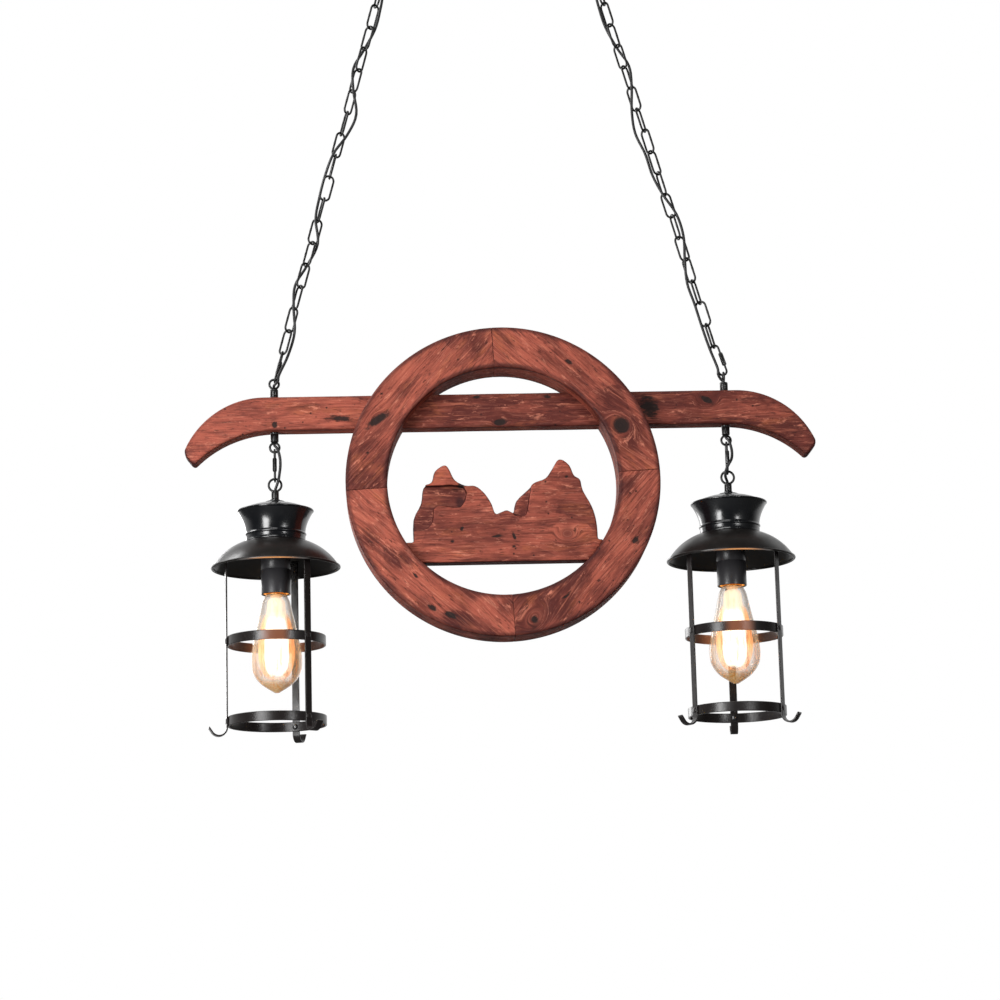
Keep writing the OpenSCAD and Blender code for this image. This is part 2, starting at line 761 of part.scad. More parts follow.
module stem(yaw) {
    socket_in = socket_top - socket_thread_h;
    color([0.1, 0.1, 0.1]) under_beam(yaw) {
        difference() {
            union() {
                translate([0, 0, nut_low]) cylinder(r = pin_r, h = pin_h + nut_h + seat_gap);
                translate([0, 0, nut_low]) cylinder(d = nut_d, h = nut_h);
                translate([0, 0, socket_in]) cylinder(r = stem_r, h = nut_low - socket_in);
            }
            translate([0, 0, socket_in - overrun])
                cylinder(r = pin_bore_r, h = collar_low + pin_h - socket_in + overrun * 2);
        }
        translate([0, 0, crown_top]) difference() {
            cylinder(d = washer_d, h = washer_t);
            translate([0, 0, -overrun])
                cylinder(r = stem_r + fit_gap, h = washer_t + overrun * 2);
        }
    }
}

// Radius of the crown's flared side at share t of its height above the foot
function crown_side(t) = waist_r + (crown_r - waist_r) * pow(t, crown_power);

module crown(yaw) {
    side_h = crown_h - crown_foot_h;
    foot = crown_low + crown_foot_h;
    steps = [for (k = [0:crown_steps]) k / crown_steps];
    dome_low = crown_top - crown_dome_r;
    color([0.05, 0.05, 0.055]) under_beam(yaw) difference() {
        union() {
            rotate_extrude($fn = 96) difference() {
                intersection() {
                    translate([0, dome_low]) circle(r = crown_dome_r, $fn = 180);
                    translate([0, crown_rim]) square([crown_r, crown_rise]);
                }
                translate([0, dome_low - sheet_t]) circle(r = crown_dome_r, $fn = 180);
            }
            rotate_extrude($fn = 96) polygon(concat([[waist_r, crown_low]],
                [for (t = steps) [crown_side(t), foot + t * side_h]],
                [for (k = [crown_steps:-1:0])
                    [crown_side(steps[k]) - sheet_t, foot + steps[k] * side_h]],
                [[waist_r - sheet_t, crown_low]]));
            translate([0, 0, crown_low + crown_bead_up]) rotate_extrude($fn = 96)
                translate([crown_side((crown_bead_up - crown_foot_h) / side_h), 0])
                    circle(r = crown_bead_r, $fn = 32);
        }
        translate([0, 0, crown_low])
            cylinder(r = stem_r + fit_gap, h = crown_h + crown_rise + overrun);
    }
}

module shade(yaw) {
    color([0.05, 0.05, 0.055]) under_beam(yaw) {
        rotate_extrude($fn = 120) {
            translate([stem_r + fit_gap, shade_z - sheet_t])
                square([shade_top_r - stem_r - fit_gap, sheet_t]);
            difference() {
                intersection() {
                    translate([dome_x, dome_z]) circle(r = shade_dome_r, $fn = 180);
                    translate([shade_top_r - sheet_t / 2, rim_z])
                        square([shade_r - shade_top_r + sheet_t / 2, shade_z - rim_z]);
                }
                translate([dome_x, dome_z]) circle(r = shade_dome_r - sheet_t, $fn = 180);
            }
            translate([shade_r - bead_r, rim_z]) circle(r = bead_r, $fn = 32);
        }
    }
}

module socket(yaw) {
    color([0.04, 0.04, 0.04]) under_beam(yaw) difference() {
        union() {
            translate([0, 0, socket_low]) cylinder(r = socket_r, h = socket_h - socket_cap_h);
            translate([0, 0, socket_top - socket_cap_h])
                cylinder(r1 = socket_r, r2 = socket_cap_r, h = socket_cap_h);
        }
        translate([0, 0, socket_low - overrun])
            cylinder(r = base_r + seat_gap, h = base_l + contact_h + overrun + seat_gap * 2);
        translate([0, 0, socket_top - socket_thread_h - seat_gap])
            cylinder(r = stem_r + fit_gap, h = socket_thread_h + seat_gap + overrun);
    }
}

module at_legs() {
    for (k = [0:leg_count - 1])
        rotate([0, 0, k * 360 / leg_count]) children();
}

// Rivet holes through a leg and both rings, along the leg's outward line
module rivet_holes() {
    for (z = [middle_z, lower_z])
        translate([cage_r - bar_t - overrun, 0, z]) rotate([0, 90, 0])
            cylinder(r = rivet_r + fit_gap, h = bar_t * 2 + overrun * 2, $fn = 32);
}

module legs(yaw) {
    color([0.06, 0.06, 0.065]) under_beam(yaw) at_legs() difference() {
        translate([0, leg_w / 2, 0]) rotate([90, 0, 0]) linear_extrude(leg_w) {
            translate([leg_in_r, leg_low]) square([bar_t, leg_top - leg_low]);
            translate([leg_mid_r + hook_bend_r, leg_low]) difference() {
                circle(r = hook_bend_r + bar_t / 2);
                circle(r = hook_bend_r - bar_t / 2);
                translate([-hook_bend_r * 2, 0]) square([hook_bend_r * 4, hook_bend_r * 2]);
            }
        }
        rivet_holes();
    }
}

module cage_ring(yaw, z) {
    color([0.06, 0.06, 0.065]) under_beam(yaw) difference() {
        translate([0, 0, z - bar_h / 2]) difference() {
            cylinder(r = cage_r, h = bar_h, $fn = 120);
            translate([0, 0, -overrun])
                cylinder(r = cage_r - bar_t, h = bar_h + overrun * 2, $fn = 120);
        }
        at_legs() rivet_holes();
    }
}

module rivets(yaw) {
    color([0.07, 0.07, 0.07]) under_beam(yaw) at_legs()
        for (z = [middle_z, lower_z]) translate([0, 0, z]) rotate([0, 90, 0]) {
            translate([0, 0, rivet_in_r - rivet_head_h]) {
                cylinder(r = rivet_head_r, h = rivet_head_h, $fn = 32);
                cylinder(r = rivet_r, h = leg_out_r - rivet_in_r + rivet_head_h * 2,
                    $fn = 32);
            }
            translate([0, 0, leg_out_r])
                cylinder(r = rivet_head_r, h = rivet_head_h, $fn = 32);
        }
}

// Half outline of the bulb, drawn in by the given wall
function glass_outline(wall) = [
    for (q = smooth(glass_shares, glass_steps))
        [q[1] * bulb_r - wall, glass_top - q[0] * glass_l + wall * q[0]]];

module bulb_glass(yaw) {
    out = glass_outline(0);
    inner = glass_outline(glass_t);
    last = len(out) - 1;
    color([0.95, 0.7, 0.35, 0.5]) under_beam(yaw) rotate_extrude($fn = 96)
        polygon(concat(out, [[0, out[last][1]], [0, inner[last][1]]],
            [for (k = [last:-1:0]) inner[k]]));
}

module bulb_base(yaw) {
    color([0.75, 0.6, 0.35]) under_beam(yaw) {
        translate([0, 0, base_low]) cylinder(r = base_r, h = base_l - contact_h);
        translate([0, 0, base_low + base_l - contact_h]) cylinder(r = contact_r, h = contact_h);
    }
}

function on_circle(r, turn, down) = [r * cos(turn), r * sin(turn), glass_top - down];

// A round bar from a to b
module bar(a, b, r) {
    d = b - a;
    translate(a) rotate([0, acos(d[2] / norm(d)), atan2(d[1], d[0])])
        cylinder(r = r, h = norm(d), $fn = 16);
}

module bulb_stem(yaw) {
    tip = mount_r / 2;
    color([0.9, 0.85, 0.75, 0.6]) under_beam(yaw) union() {
        translate([0, 0, glass_top - mount_flare_h])
            cylinder(r1 = mount_r, r2 = mount_flare_r, h = mount_flare_h, $fn = 48);
        translate([0, 0, glass_top - mount_l]) cylinder(r = mount_r, h = mount_l, $fn = 48);
        for (k = [0:2:filament_points - 1]) {
            bar(on_circle(tip, k * 360 / filament_points, filament_top),
                on_circle(filament_top_r - filament_r - seat_gap,
                    k * 360 / filament_points, filament_top), wire_r);
            bar(on_circle(tip, (k + 1) * 360 / filament_points, filament_low),
                on_circle(filament_low_r - filament_r - seat_gap,
                    (k + 1) * 360 / filament_points, filament_low), wire_r);
        }
    }
}

function filament_point(k) = k % 2 == 0
    ? on_circle(filament_top_r, k * 360 / filament_points, filament_top)
    : on_circle(filament_low_r, k * 360 / filament_points, filament_low);

// The zigzag, with one point close beside each corner on either strand
module filament(yaw) {
    last = filament_points - 1;
    p = concat(
        [for (k = [0:last - 1], share = [0, corner_share, 1 - corner_share])
            filament_point(k) * (1 - share) + filament_point(k + 1) * share],
        [filament_point(last)]);
    side = [for (q = p) [q[0], q[1], 0]];
    color([1, 0.75, 0.4]) under_beam(yaw) tube(p, side, filament_r, filament_sides);
}

ceiling_bracket();
canopy();
canopy_screws();
left_side() ceiling_eye();  // ceiling_eye_left
right_side() ceiling_eye();  // ceiling_eye_right
terminal_block();
cord_grips();
left_side() chain(chain_turn_left);  // chain_left
right_side() chain(chain_turn_right);  // chain_right
left_side() top_link(90, 0);  // top_link_left
right_side() top_link(0, across_lean);  // top_link_right
left_side() cord(upper_route(eye_route_left, cord_turn_left, cord_off_left));  // cord_upper_left
right_side() cord(upper_route(eye_route_right, cord_turn_right, cord_off_right));  // cord_upper_right
beam();
ring_quarter(0);  // ring_top_right
ring_quarter(1);  // ring_top_left
ring_quarter(2);  // ring_bottom_left
ring_quarter(3);  // ring_bottom_right
mountain_back();
mountain_front();
frame_screws();
left_side() through_tube();  // tube_left
right_side() through_tube();  // tube_right
left_side() upper_eye(0);  // upper_eye_left
right_side() upper_eye(90);  // upper_eye_right
left_side() lower_eye();  // lower_eye_left
right_side() lower_eye();  // lower_eye_right
left_side() hang_link();  // link_left
left_side() lamp_loop();  // lamp_loop_left
left_side() stem(left_yaw);  // stem_left
left_side() crown(left_yaw);  // crown_left
left_side() shade(left_yaw);  // shade_left
left_side() socket(left_yaw);  // socket_left
left_side() legs(left_yaw);  // legs_left
left_side() cage_ring(left_yaw, middle_z);  // middle_ring_left
left_side() cage_ring(left_yaw, lower_z);  // lower_ring_left
left_side() rivets(left_yaw);  // rivets_left
left_side() cord(lower_route(low_route_left));  // cord_lower_left
left_side() bulb_glass(left_yaw);  // bulb_glass_left
left_side() bulb_base(left_yaw);  // bulb_base_left
left_side() bulb_stem(left_yaw);  // bulb_stem_left
left_side() filament(left_yaw);  // filament_left
right_side() hang_link();  // link_right
right_side() lamp_loop();  // lamp_loop_right
right_side() stem(180 - right_yaw);  // stem_right
right_side() crown(180 - right_yaw);  // crown_right
right_side() shade(180 - right_yaw);  // shade_right
right_side() socket(180 - right_yaw);  // socket_right
right_side() legs(180 - right_yaw);  // legs_right
right_side() cage_ring(180 - right_yaw, middle_z);  // middle_ring_right
right_side() cage_ring(180 - right_yaw, lower_z);  // lower_ring_right
right_side() rivets(180 - right_yaw);  // rivets_right
right_side() cord(lower_route(low_route_right));  // cord_lower_right
right_side() bulb_glass(180 - right_yaw);  // bulb_glass_right
right_side() bulb_base(180 - right_yaw);  // bulb_base_right
right_side() bulb_stem(180 - right_yaw);  // bulb_stem_right
right_side() filament(180 - right_yaw);  // filament_right
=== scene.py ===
import bpy
import numpy as np
from math import asin, atan, cos, pi, radians, sin, sqrt
from mathutils import Matrix, Vector


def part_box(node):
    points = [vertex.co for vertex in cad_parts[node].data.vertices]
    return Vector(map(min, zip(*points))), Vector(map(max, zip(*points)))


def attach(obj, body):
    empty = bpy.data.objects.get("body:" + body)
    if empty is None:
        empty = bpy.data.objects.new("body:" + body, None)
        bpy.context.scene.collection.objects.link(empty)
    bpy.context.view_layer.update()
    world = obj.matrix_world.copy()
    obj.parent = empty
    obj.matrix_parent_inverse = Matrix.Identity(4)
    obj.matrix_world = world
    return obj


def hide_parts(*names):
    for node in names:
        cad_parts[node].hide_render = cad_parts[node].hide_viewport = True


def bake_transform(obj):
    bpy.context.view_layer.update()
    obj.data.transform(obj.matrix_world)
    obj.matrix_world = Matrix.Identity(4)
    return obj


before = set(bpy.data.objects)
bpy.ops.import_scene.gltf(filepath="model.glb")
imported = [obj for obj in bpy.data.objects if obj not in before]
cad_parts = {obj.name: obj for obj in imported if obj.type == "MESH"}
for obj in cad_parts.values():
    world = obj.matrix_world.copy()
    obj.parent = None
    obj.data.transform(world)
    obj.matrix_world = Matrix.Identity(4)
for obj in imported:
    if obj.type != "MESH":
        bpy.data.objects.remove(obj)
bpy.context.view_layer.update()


def outward(turn, rise):
    """A unit arrow, by its turn from the front and its rise in degrees."""
    turn, rise = radians(turn), radians(rise)
    return Vector((sin(turn) * cos(rise), -cos(turn) * cos(rise), sin(rise)))


def placed(name, data):
    """A new object in the scene that shows the given data."""
    made = bpy.data.objects.new(name, data)
    bpy.context.scene.collection.objects.link(made)
    return made


# The camera stands a little left of the light, lower than the beam, and looks up at it.
# A long lens keeps both lanterns nearly upright, as the photograph does.
aim, camera_far, camera_roll = Vector((-0.0032, 0, -0.7373)), 3.6, 1.467
away = outward(-2.4, -11.5)
camera = placed("camera", bpy.data.cameras.new("camera"))
camera.data.sensor_width = 36
camera.data.lens = 2855 / 1000 * 36
camera.location = aim + away * camera_far
camera.rotation_euler = (away.to_track_quat("Z", "Y").to_matrix()
                         @ Matrix.Rotation(radians(-camera_roll), 3, "Z")).to_euler()
bpy.context.scene.camera = camera
bpy.context.scene.view_settings.view_transform = "Standard"


def mm(values):
    """Millimetres carried into metres."""
    return np.asarray(values, float) / 1000


def spokes(count):
    """Even angles round a circle."""
    return np.arange(count) * 2 * pi / count


def smooth_path(points, steps):
    """A path through every point: each stretch is the cubic whose end slopes are half the step
    from the neighbour before to the neighbour after, sampled at even shares."""
    p = np.asarray(points, float)
    a, b, c, d = p[np.r_[0, 0:len(p) - 2]], p[:-1], p[1:], p[np.r_[2:len(p), len(p) - 1]]
    t = (np.arange(steps) / steps)[None, :, None]
    a, b, c, d = (q[:, None, :] for q in (a, b, c, d))
    path = 0.5 * (2 * b + (c - a) * t + (2 * a - 5 * b + 4 * c - d) * t ** 2
                  + (3 * b - a - 3 * c + d) * t ** 3)
    return np.vstack([path.reshape(-1, 3), p[-1:]])


def direction(v):
    """Each row divided by its own length."""
    return v / np.linalg.norm(v, axis=-1, keepdims=True)


def skin(rows, closed=False):
    """Corner points and faces of a surface whose rows are rings of points: four-sided faces join
    each ring to the next, and fans close both ends unless the last ring joins the first. The
    faces are turned outward by the sign of the volume that they hold."""
    rows = np.asarray(rows, float)
    n, m = rows.shape[:2]
    i = np.arange(n if closed else n - 1)[:, None] * m
    k, j = np.arange(m)[None, :], (np.arange(m)[None, :] + 1) % m
    up = (i + m) % (n * m)
    quads = np.stack([i + k, i + j, up + j, up + k], -1).reshape(-1, 4)
    points, fans = rows.reshape(-1, 3), np.zeros((0, 3), int)
    if not closed:
        points = np.vstack([points, rows[0].mean(0), rows[-1].mean(0)])
        ring = np.arange(m)
        first = np.stack([np.roll(ring, -1), ring, np.full(m, n * m)], 1)
        last = np.stack([ring, np.roll(ring, -1), np.full(m, n * m + 1)], 1)
        last[:, :2] += (n - 1) * m
        fans = np.vstack([first, last])
    corners = np.vstack([quads[:, :3], quads[:, [0, 2, 3]], fans])
    a, b, c = (points[corners[:, s]] for s in range(3))
    if np.einsum("ij,ij->i", a, np.cross(b, c)).sum() < 0:
        quads, fans = quads[:, ::-1], fans[:, ::-1]
    return points, quads.tolist() + fans.tolist()


def dressed(mesh, finish, values):
    """Smooth shading, a finish, and named values on a mesh's points, single or in threes."""
    mesh.materials.clear()
    mesh.materials.append(finish.material)
    mesh.polygons.foreach_set("use_smooth", np.ones(len(mesh.polygons), bool))
    for key, value in values.items():
        value = np.asarray(value, np.float32)
        kind, field = ("FLOAT_VECTOR", "vector") if value.ndim == 2 else ("FLOAT", "value")
        mesh.attributes.new(key, kind, "POINT").data.foreach_set(field, value.ravel())


def piece(name, shells, body, finish, nodes=(), values=None):
    """One object from several closed skins, riding its body if it is given one."""
    faces, start = [], 0
    for s in shells:
        faces += [[c + start for c in f] for f in s[1]]
        start += len(s[0])
    mesh = bpy.data.meshes.new(name)
    mesh.from_pydata(np.vstack([s[0] for s in shells]).tolist(), [], faces)
    dressed(mesh, finish, values or {})
    made = placed(name, mesh)
    if body:
        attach(made, body)
    if nodes:
        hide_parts(*nodes)
    return made


def tube(path, radius, sides=12, side=(0, 1, 0)):
    """A round tube: rings square to the path's own direction, their first spoke square to side."""
    along = direction(np.gradient(path, axis=0))
    across = direction(np.cross(np.broadcast_to(side, path.shape), along))
    over, turn = np.cross(along, across), spokes(sides)
    return path[:, None] + radius * (across[:, None] * np.cos(turn)[None, :, None]
                                     + over[:, None] * np.sin(turn)[None, :, None])


class Net:
    """A shader tree and short ways to add nodes, each giving back its output."""

    def __init__(self, tree):
        self.tree, self.place = tree, None

    def join(self, socket, value):
        """Links an input to an output, or gives it a plain number, vector or colour."""
        if isinstance(value, bpy.types.NodeSocket):
            self.tree.links.new(value, socket)
        else:
            socket.default_value = (*value, 1) if socket.type == "RGBA" else value

    def node(self, kind, joins=None, **options):
        """The node itself: options are its settings, joins its inputs."""
        made = self.tree.nodes.new("ShaderNode" + kind)
        for key, value in options.items():
            setattr(made, key, value)
        for key, value in (joins or {}).items():
            self.join(made.inputs[key], value)
        return made

    def math(self, operation, *values):
        """One sum on single numbers."""
        return self.node("Math", dict(enumerate(values)), operation=operation).outputs[0]

    def mul(self, a, b):
        return self.math("MULTIPLY", a, b)

    def add(self, a, b):
        return self.math("ADD", a, b)

    def sub(self, a, b):
        return self.math("SUBTRACT", a, b)

    def vector(self, operation, *values):
        """One sum on vectors."""
        return self.node("VectorMath", dict(enumerate(values)), operation=operation).outputs[0]

    def mix(self, share, a, b):
        """Colour a turned into colour b by a share."""
        return self.node("Mix", {0: share, 6: a, 7: b}, data_type="RGBA").outputs[2]

    def ramp(self, value, low, high, out_low=0.0, out_high=1.0):
        """A value carried softly from one span to another and held at its ends."""
        return self.node("MapRange", {0: value, 1: low, 2: high, 3: out_low, 4: out_high},
                         interpolation_type="SMOOTHSTEP").outputs[0]

    def noise(self, place, scale, detail=3.0, roughness=0.5):
        """Cloudy noise on coordinates scaled along each axis, or along all by one number."""
        scale = scale if isinstance(scale, tuple) else (scale, scale, scale)
        return self.node("TexNoise", {"Vector": self.vector("MULTIPLY", place, scale),
                                      "Scale": 1.0, "Detail": detail,
                                      "Roughness": roughness}).outputs[0]

    def spot(self, axis=None):
        """The object's own coordinates, or one of them."""
        self.place = self.place or self.node("TexCoord").outputs["Object"]
        return self.node("SeparateXYZ", {0: self.place}).outputs[axis] if axis else self.place


class Finish(Net):
    """A material's tree, with ways to its main shader."""

    def __init__(self, name, roughness=0.4, **plain):
        self.material = bpy.data.materials.new(name)
        self.material.use_nodes = True
        super().__init__(self.material.node_tree)
        self.shader = self.tree.nodes["Principled BSDF"]
        self.give(Roughness=roughness, **plain)

    def give(self, **values):
        """Links or sets the shader's inputs, with an underscore for each space."""
        for key, value in values.items():
            self.join(self.shader.inputs[key.replace("_", " ")], value)

    def bump(self, height, distance):
        """A height carried into the shader's normal."""
        self.give(Normal=self.node("Bump", {"Height": height, "Distance": distance,
                                            "Strength": 1.0}).outputs[0])

    def dress(self, group, deep, **given):
        """Adds a shared group and takes the shader's colour, roughness and bumps from it."""
        used = self.tree.nodes.new("ShaderNodeGroup")
        used.node_tree = group
        for key, value in given.items():
            self.join(used.inputs[key], value)
        self.give(Base_Color=used.outputs["Colour"], Roughness=used.outputs["Roughness"])
        self.bump(used.outputs["Height"], deep)
        return self


class Shared(Net):
    """A node group that gives a colour, a roughness and a height."""

    def __init__(self, name, **inputs):
        tree = bpy.data.node_groups.new(name, "ShaderNodeTree")
        outputs = {"Colour": "Color", "Roughness": "Float", "Height": "Float"}
        for way, sockets in (("INPUT", inputs), ("OUTPUT", outputs)):
            for key, kind in sockets.items():
                tree.interface.new_socket(key, in_out=way, socket_type="NodeSocket" + kind)
        super().__init__(tree)
        self.given = tree.nodes.new("NodeGroupInput").outputs
        self.result = tree.nodes.new("NodeGroupOutput").inputs

    def ends(self, **values):
        """Links the group's outputs and gives back the group."""
        for key, value in values.items():
            self.join(self.result[key], value)
        return self.tree


def worn_paint():
    """Black finishes: fine orange peel, faint smears and dust lying on top."""
    net = Shared("worn_paint", Place="Vector", Paint="Color", Dust="Color", Gloss="Float",
                 Peel="Float")
    place = net.given["Place"]
    smear = net.noise(place, (35, 35, 22), 4)
    peel = net.node("TexNoise", {"Vector": place, "Scale": net.given["Peel"],
                                 "Detail": 2.0}).outputs[0]
    dust = net.ramp(net.noise(place, 160, 6, 0.7), 0.56, 0.78)
    return net.ends(
        Colour=net.mix(net.mul(dust, 0.35), net.given["Paint"], net.given["Dust"]),
        Roughness=net.add(net.given["Gloss"], net.ramp(smear, 0.35, 0.7, -0.05, 0.1)),
        Height=net.add(peel, net.mul(dust, 0.3)))


paint_group = worn_paint()


def black_finish(name, paint, dust, gloss, peel, deep, **plain):
    """A black paint, rubber or plastic: worn_paint at one object's own values."""
    made = Finish(name, **plain)
    return made.dress(paint_group, deep, Place=made.spot(), Paint=paint, Dust=dust, Gloss=gloss,
                      Peel=peel)


# Places shared by the pieces, taken from the frame: the lanterns' and the chains' lines, the
# beam's underside and top, the upper eyes' centres and the chains' tilt.
tube_box, hook_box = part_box("tube_left"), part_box("ceiling_eye_left")
tube_past, eye_rise, chain_reach = 0.005, 0.0197, 0.56
eye_x = -(tube_box[0].x + tube_box[1].x) / 2
hook_x = -(hook_box[0].x + hook_box[1].x) / 2
beam_low, beam_top = tube_box[0].z + tube_past, tube_box[1].z - tube_past
beam_mid = (beam_top + beam_low) / 2
eye_z = beam_top + eye_rise
chain_tilt = asin((eye_x - hook_x) / chain_reach)
sides = {"left": 1, "right": -1}


def mirrored(points, side):
    """Points drawn for the left side, carried to the right one by turning their X round."""
    return points * (1, 1, 1) if side == "left" else points * (-1, 1, 1)


def beside_chain(up, inward, front):
    """A point by its height along the left chain's line and its distances inward and forward."""
    return np.stack([-eye_x + up * sin(chain_tilt) + inward * cos(chain_tilt), -front,
                     eye_z + up * cos(chain_tilt) - inward * sin(chain_tilt)], -1)


# Flexible cords feed each lamp: one runs up along each chain into the canopy, and one runs
# from under the beam beside the link into the lantern's stem. They are black rubber. Routes
# are in millimetres; up the chain they are turns toward the front and distances at each joint.
cord_routes = {
    "left": ([[0, 0, -9], [0, 0, -6], [0.2, -3.4, -2.4], [5, -5, 3], [6.6, -2.6, 12]],
             [-24, 0, 96, 187, 272, 370, 475, 565, 565, 470, 376, 371, 445, 532, 622, 718, 742,
              765],
             [8, 8, 7, 7, 7, 7.5, 7, 7, 7.5, 7.5, 8, 12.5, 7.5, 7, 7, 7, 7.5, 8],
             [[0, 0, -10], [0, 0, -13.8], [0, -3.2, -17.4], [3.4, -4.8, -22],
              [6.4, -3.2, -32], [7, -2.2, -43], [5.8, -3, -54], [4.6, -4, -62],
              [2.6, -3, -68], [0.6, -0.8, -73], [0, 0, -76]]),
    "right": ([[0, 0, -9], [0, 0, -6], [3.8, -0.5, -2], [7, -3, 3.5], [7.6, -3.6, 12]],
              [31, 21, 20, 5, 75, 152, 151, 61, -10, -7, 5, 12, 97, 182, 267, 355, 368, 398],
              [7.5, 7.5, 7.5, 7.5, 7, 7, 7, 7.5, 7.5, 8, 12.5, 8, 7, 7, 7, 7, 7.5, 8.6],
              [[0, 0, -10], [0, 0, -13.8], [0, -3.2, -17.4], [-3.4, -4.8, -22],
               [-6, -5, -33], [-5.8, -6.8, -42], [-3.8, -9.4, -48], [-1, -10.4, -52.5],
               [2.6, -8.6, -60], [3.4, -5.6, -67], [1, -1.4, -73], [0, 0, -76]])}
cord_black = black_finish("cord_rubber", (0.011, 0.011, 0.012), (0.05, 0.05, 0.05), 0.42, 900,
                          0.00008)
cord_r, joint_step, joint_first = 0.0018, 0.0301, 0.04195
for side in sides:
    start, turn, far, drop = (np.array(q, float) for q in cord_routes[side])
    turn, far = np.radians(turn), mm(far)
    up = joint_first + np.arange(len(turn)) * joint_step
    route = np.vstack([
        [[-eye_x, 0, beam_low - 0.008], [-eye_x, 0, beam_top]], mm(start) + [-eye_x, 0, eye_z],
        beside_chain(up, far * np.cos(turn), far * np.sin(turn)),
        mm([[20, 0, -30], [20, 0, -18], [40, 6, -9]]) - [hook_x, 0, 0],
        [[-0.02, 0.006, -0.009]]])
    upper = piece(f"cord_long_{side}",
                  [skin(mirrored(tube(smooth_path(route, 5), cord_r), side))],
                  None, cord_black, [f"cord_upper_{side}"])
    x = -hook_x * sides[side]
    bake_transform(upper)
    path = smooth_path(mm([[0, 0, -8], *drop, [0, 0, -79]]) + [-eye_x, 0, beam_low], 6)
    cut = int(np.argmin(np.abs(path[:, 2] - (beam_low - 0.061))))
    x = -eye_x * sides[side]
    short = piece(f"cord_short_{side}",
                  [skin(mirrored(tube(path[:cut + 1], cord_r), side))],
                  None, cord_black, [f"cord_lower_{side}"])
    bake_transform(short)
    piece(f"cord_tail_{side}", [skin(mirrored(tube(path[cut - 1:], cord_r), side))],
          f"loop_{side}", cord_black)


# The floor is pale and plain, far below. Two narrow lamps stand left and right of the camera,
# a broad one hangs above it and two stand beside and behind on the left; the room is white to
# the eye, and gives only a faint light.
floor_mesh, floor_z, cells = bpy.data.meshes.new("floor"), -2.3, 12
gx, gy = np.meshgrid(*[np.linspace(-6, 6, cells + 1)] * 2, indexing="ij")
corner = (np.arange(cells)[:, None] * (cells + 1) + np.arange(cells)[None, :]).reshape(-1)
floor_mesh.from_pydata(
    np.stack([gx, gy, np.full_like(gx, floor_z)], -1).reshape(-1, 3).tolist(), [],
    np.stack([corner, corner + cells + 1, corner + cells + 2, corner + 1], 1).tolist())
floor = placed("floor", floor_mesh)
pale = Finish("floor_pale", 0.8)
speck = pale.mix(pale.noise(pale.spot(), 9, 5), (0.8, 0.8, 0.79), (0.86, 0.86, 0.85))
pale.give(Base_Color=pale.mix(pale.node("LightPath").outputs["Is Camera Ray"],
                              (0.14, 0.14, 0.14), speck))
floor_mesh.materials.append(pale.material)

world = bpy.data.worlds.new("room")
bpy.context.scene.world = world
world.use_nodes = True
room = Net(world.node_tree)
ray = room.node("LightPath").outputs
facing = room.node("SeparateXYZ", {0: room.node("TexCoord").outputs["Generated"]}).outputs
seen = room.math("MAXIMUM", ray["Is Camera Ray"], ray["Is Transmission Ray"])
mirror = room.mul(ray["Is Glossy Ray"], room.ramp(facing["Y"], -0.1, 0.8, 0.05, 1.0))
fill = room.mul(room.ramp(facing["Z"], -0.7, 0.7, 0.10, 0.38), ray["Is Diffuse Ray"])
ground = room.tree.nodes["Background"].inputs
room.join(ground["Color"], (1, 1, 1))
room.join(ground["Strength"], room.math("MAXIMUM", room.math("MAXIMUM", seen, mirror), fill))

for name, turn, rise, far, wide, tall, power in (
        ("left", -40, -6, 2.1, 0.7, 1.6, 42), ("right", 30, 0, 2.3, 0.28, 0.6, 8),
        ("above", -20, 44, 3.0, 1.7, 1.2, 30), ("side", -107, 34, 1.9, 0.5, 0.9, 16),
        ("behind", -154, 9, 3.2, 0.9, 1.3, 20)):
    lamp, out = bpy.data.lights.new(f"lamp_{name}", "AREA"), outward(turn, rise)
    lamp.shape, lamp.size, lamp.size_y, lamp.energy = "RECTANGLE", wide, tall, power
    made = placed(f"lamp_{name}", lamp)
    made.location = aim + out * far
    made.rotation_euler = out.to_track_quat("Z", "Y").to_euler()


# Each chain has welded oval links of painted steel wire, and hangs on a screw link at the beam
# eye. The links turn left and right about the chain's line just as they hang in the picture.
chain_paint = black_finish("chain_paint", (0.007, 0.007, 0.007), (0.06, 0.06, 0.055), 0.3, 700,
                           0.0001)
link_turns = {
    "left": [42, -42, 55, -40, 44, -24, 75, -17, 80, -40, 72, -50, 40, -55, 40, -45, 65],
    "right": [63, -20, 60, -50, 20, -75, 17, -75, 36, -50, 60, -35, 50, -45, 40, -50, 60]}
wire, link_mid_first, screw_len, screw_end, screw_eye = 0.0028, 0.0570, 0.0435, 0.02035, 0.006
across_lean = atan(screw_eye * sin(chain_tilt) / (screw_len - screw_eye * cos(chain_tilt)))


def wired(path, out, radius, sides=14):
    """A round wire along a path in XZ, whose out arrows point away from the bend."""
    turn = spokes(sides)
    return path[:, None] + radius * (out[:, None] * np.cos(turn)[None, :, None]
                                     + np.array([0, 1, 0]) * np.sin(turn)[None, :, None])


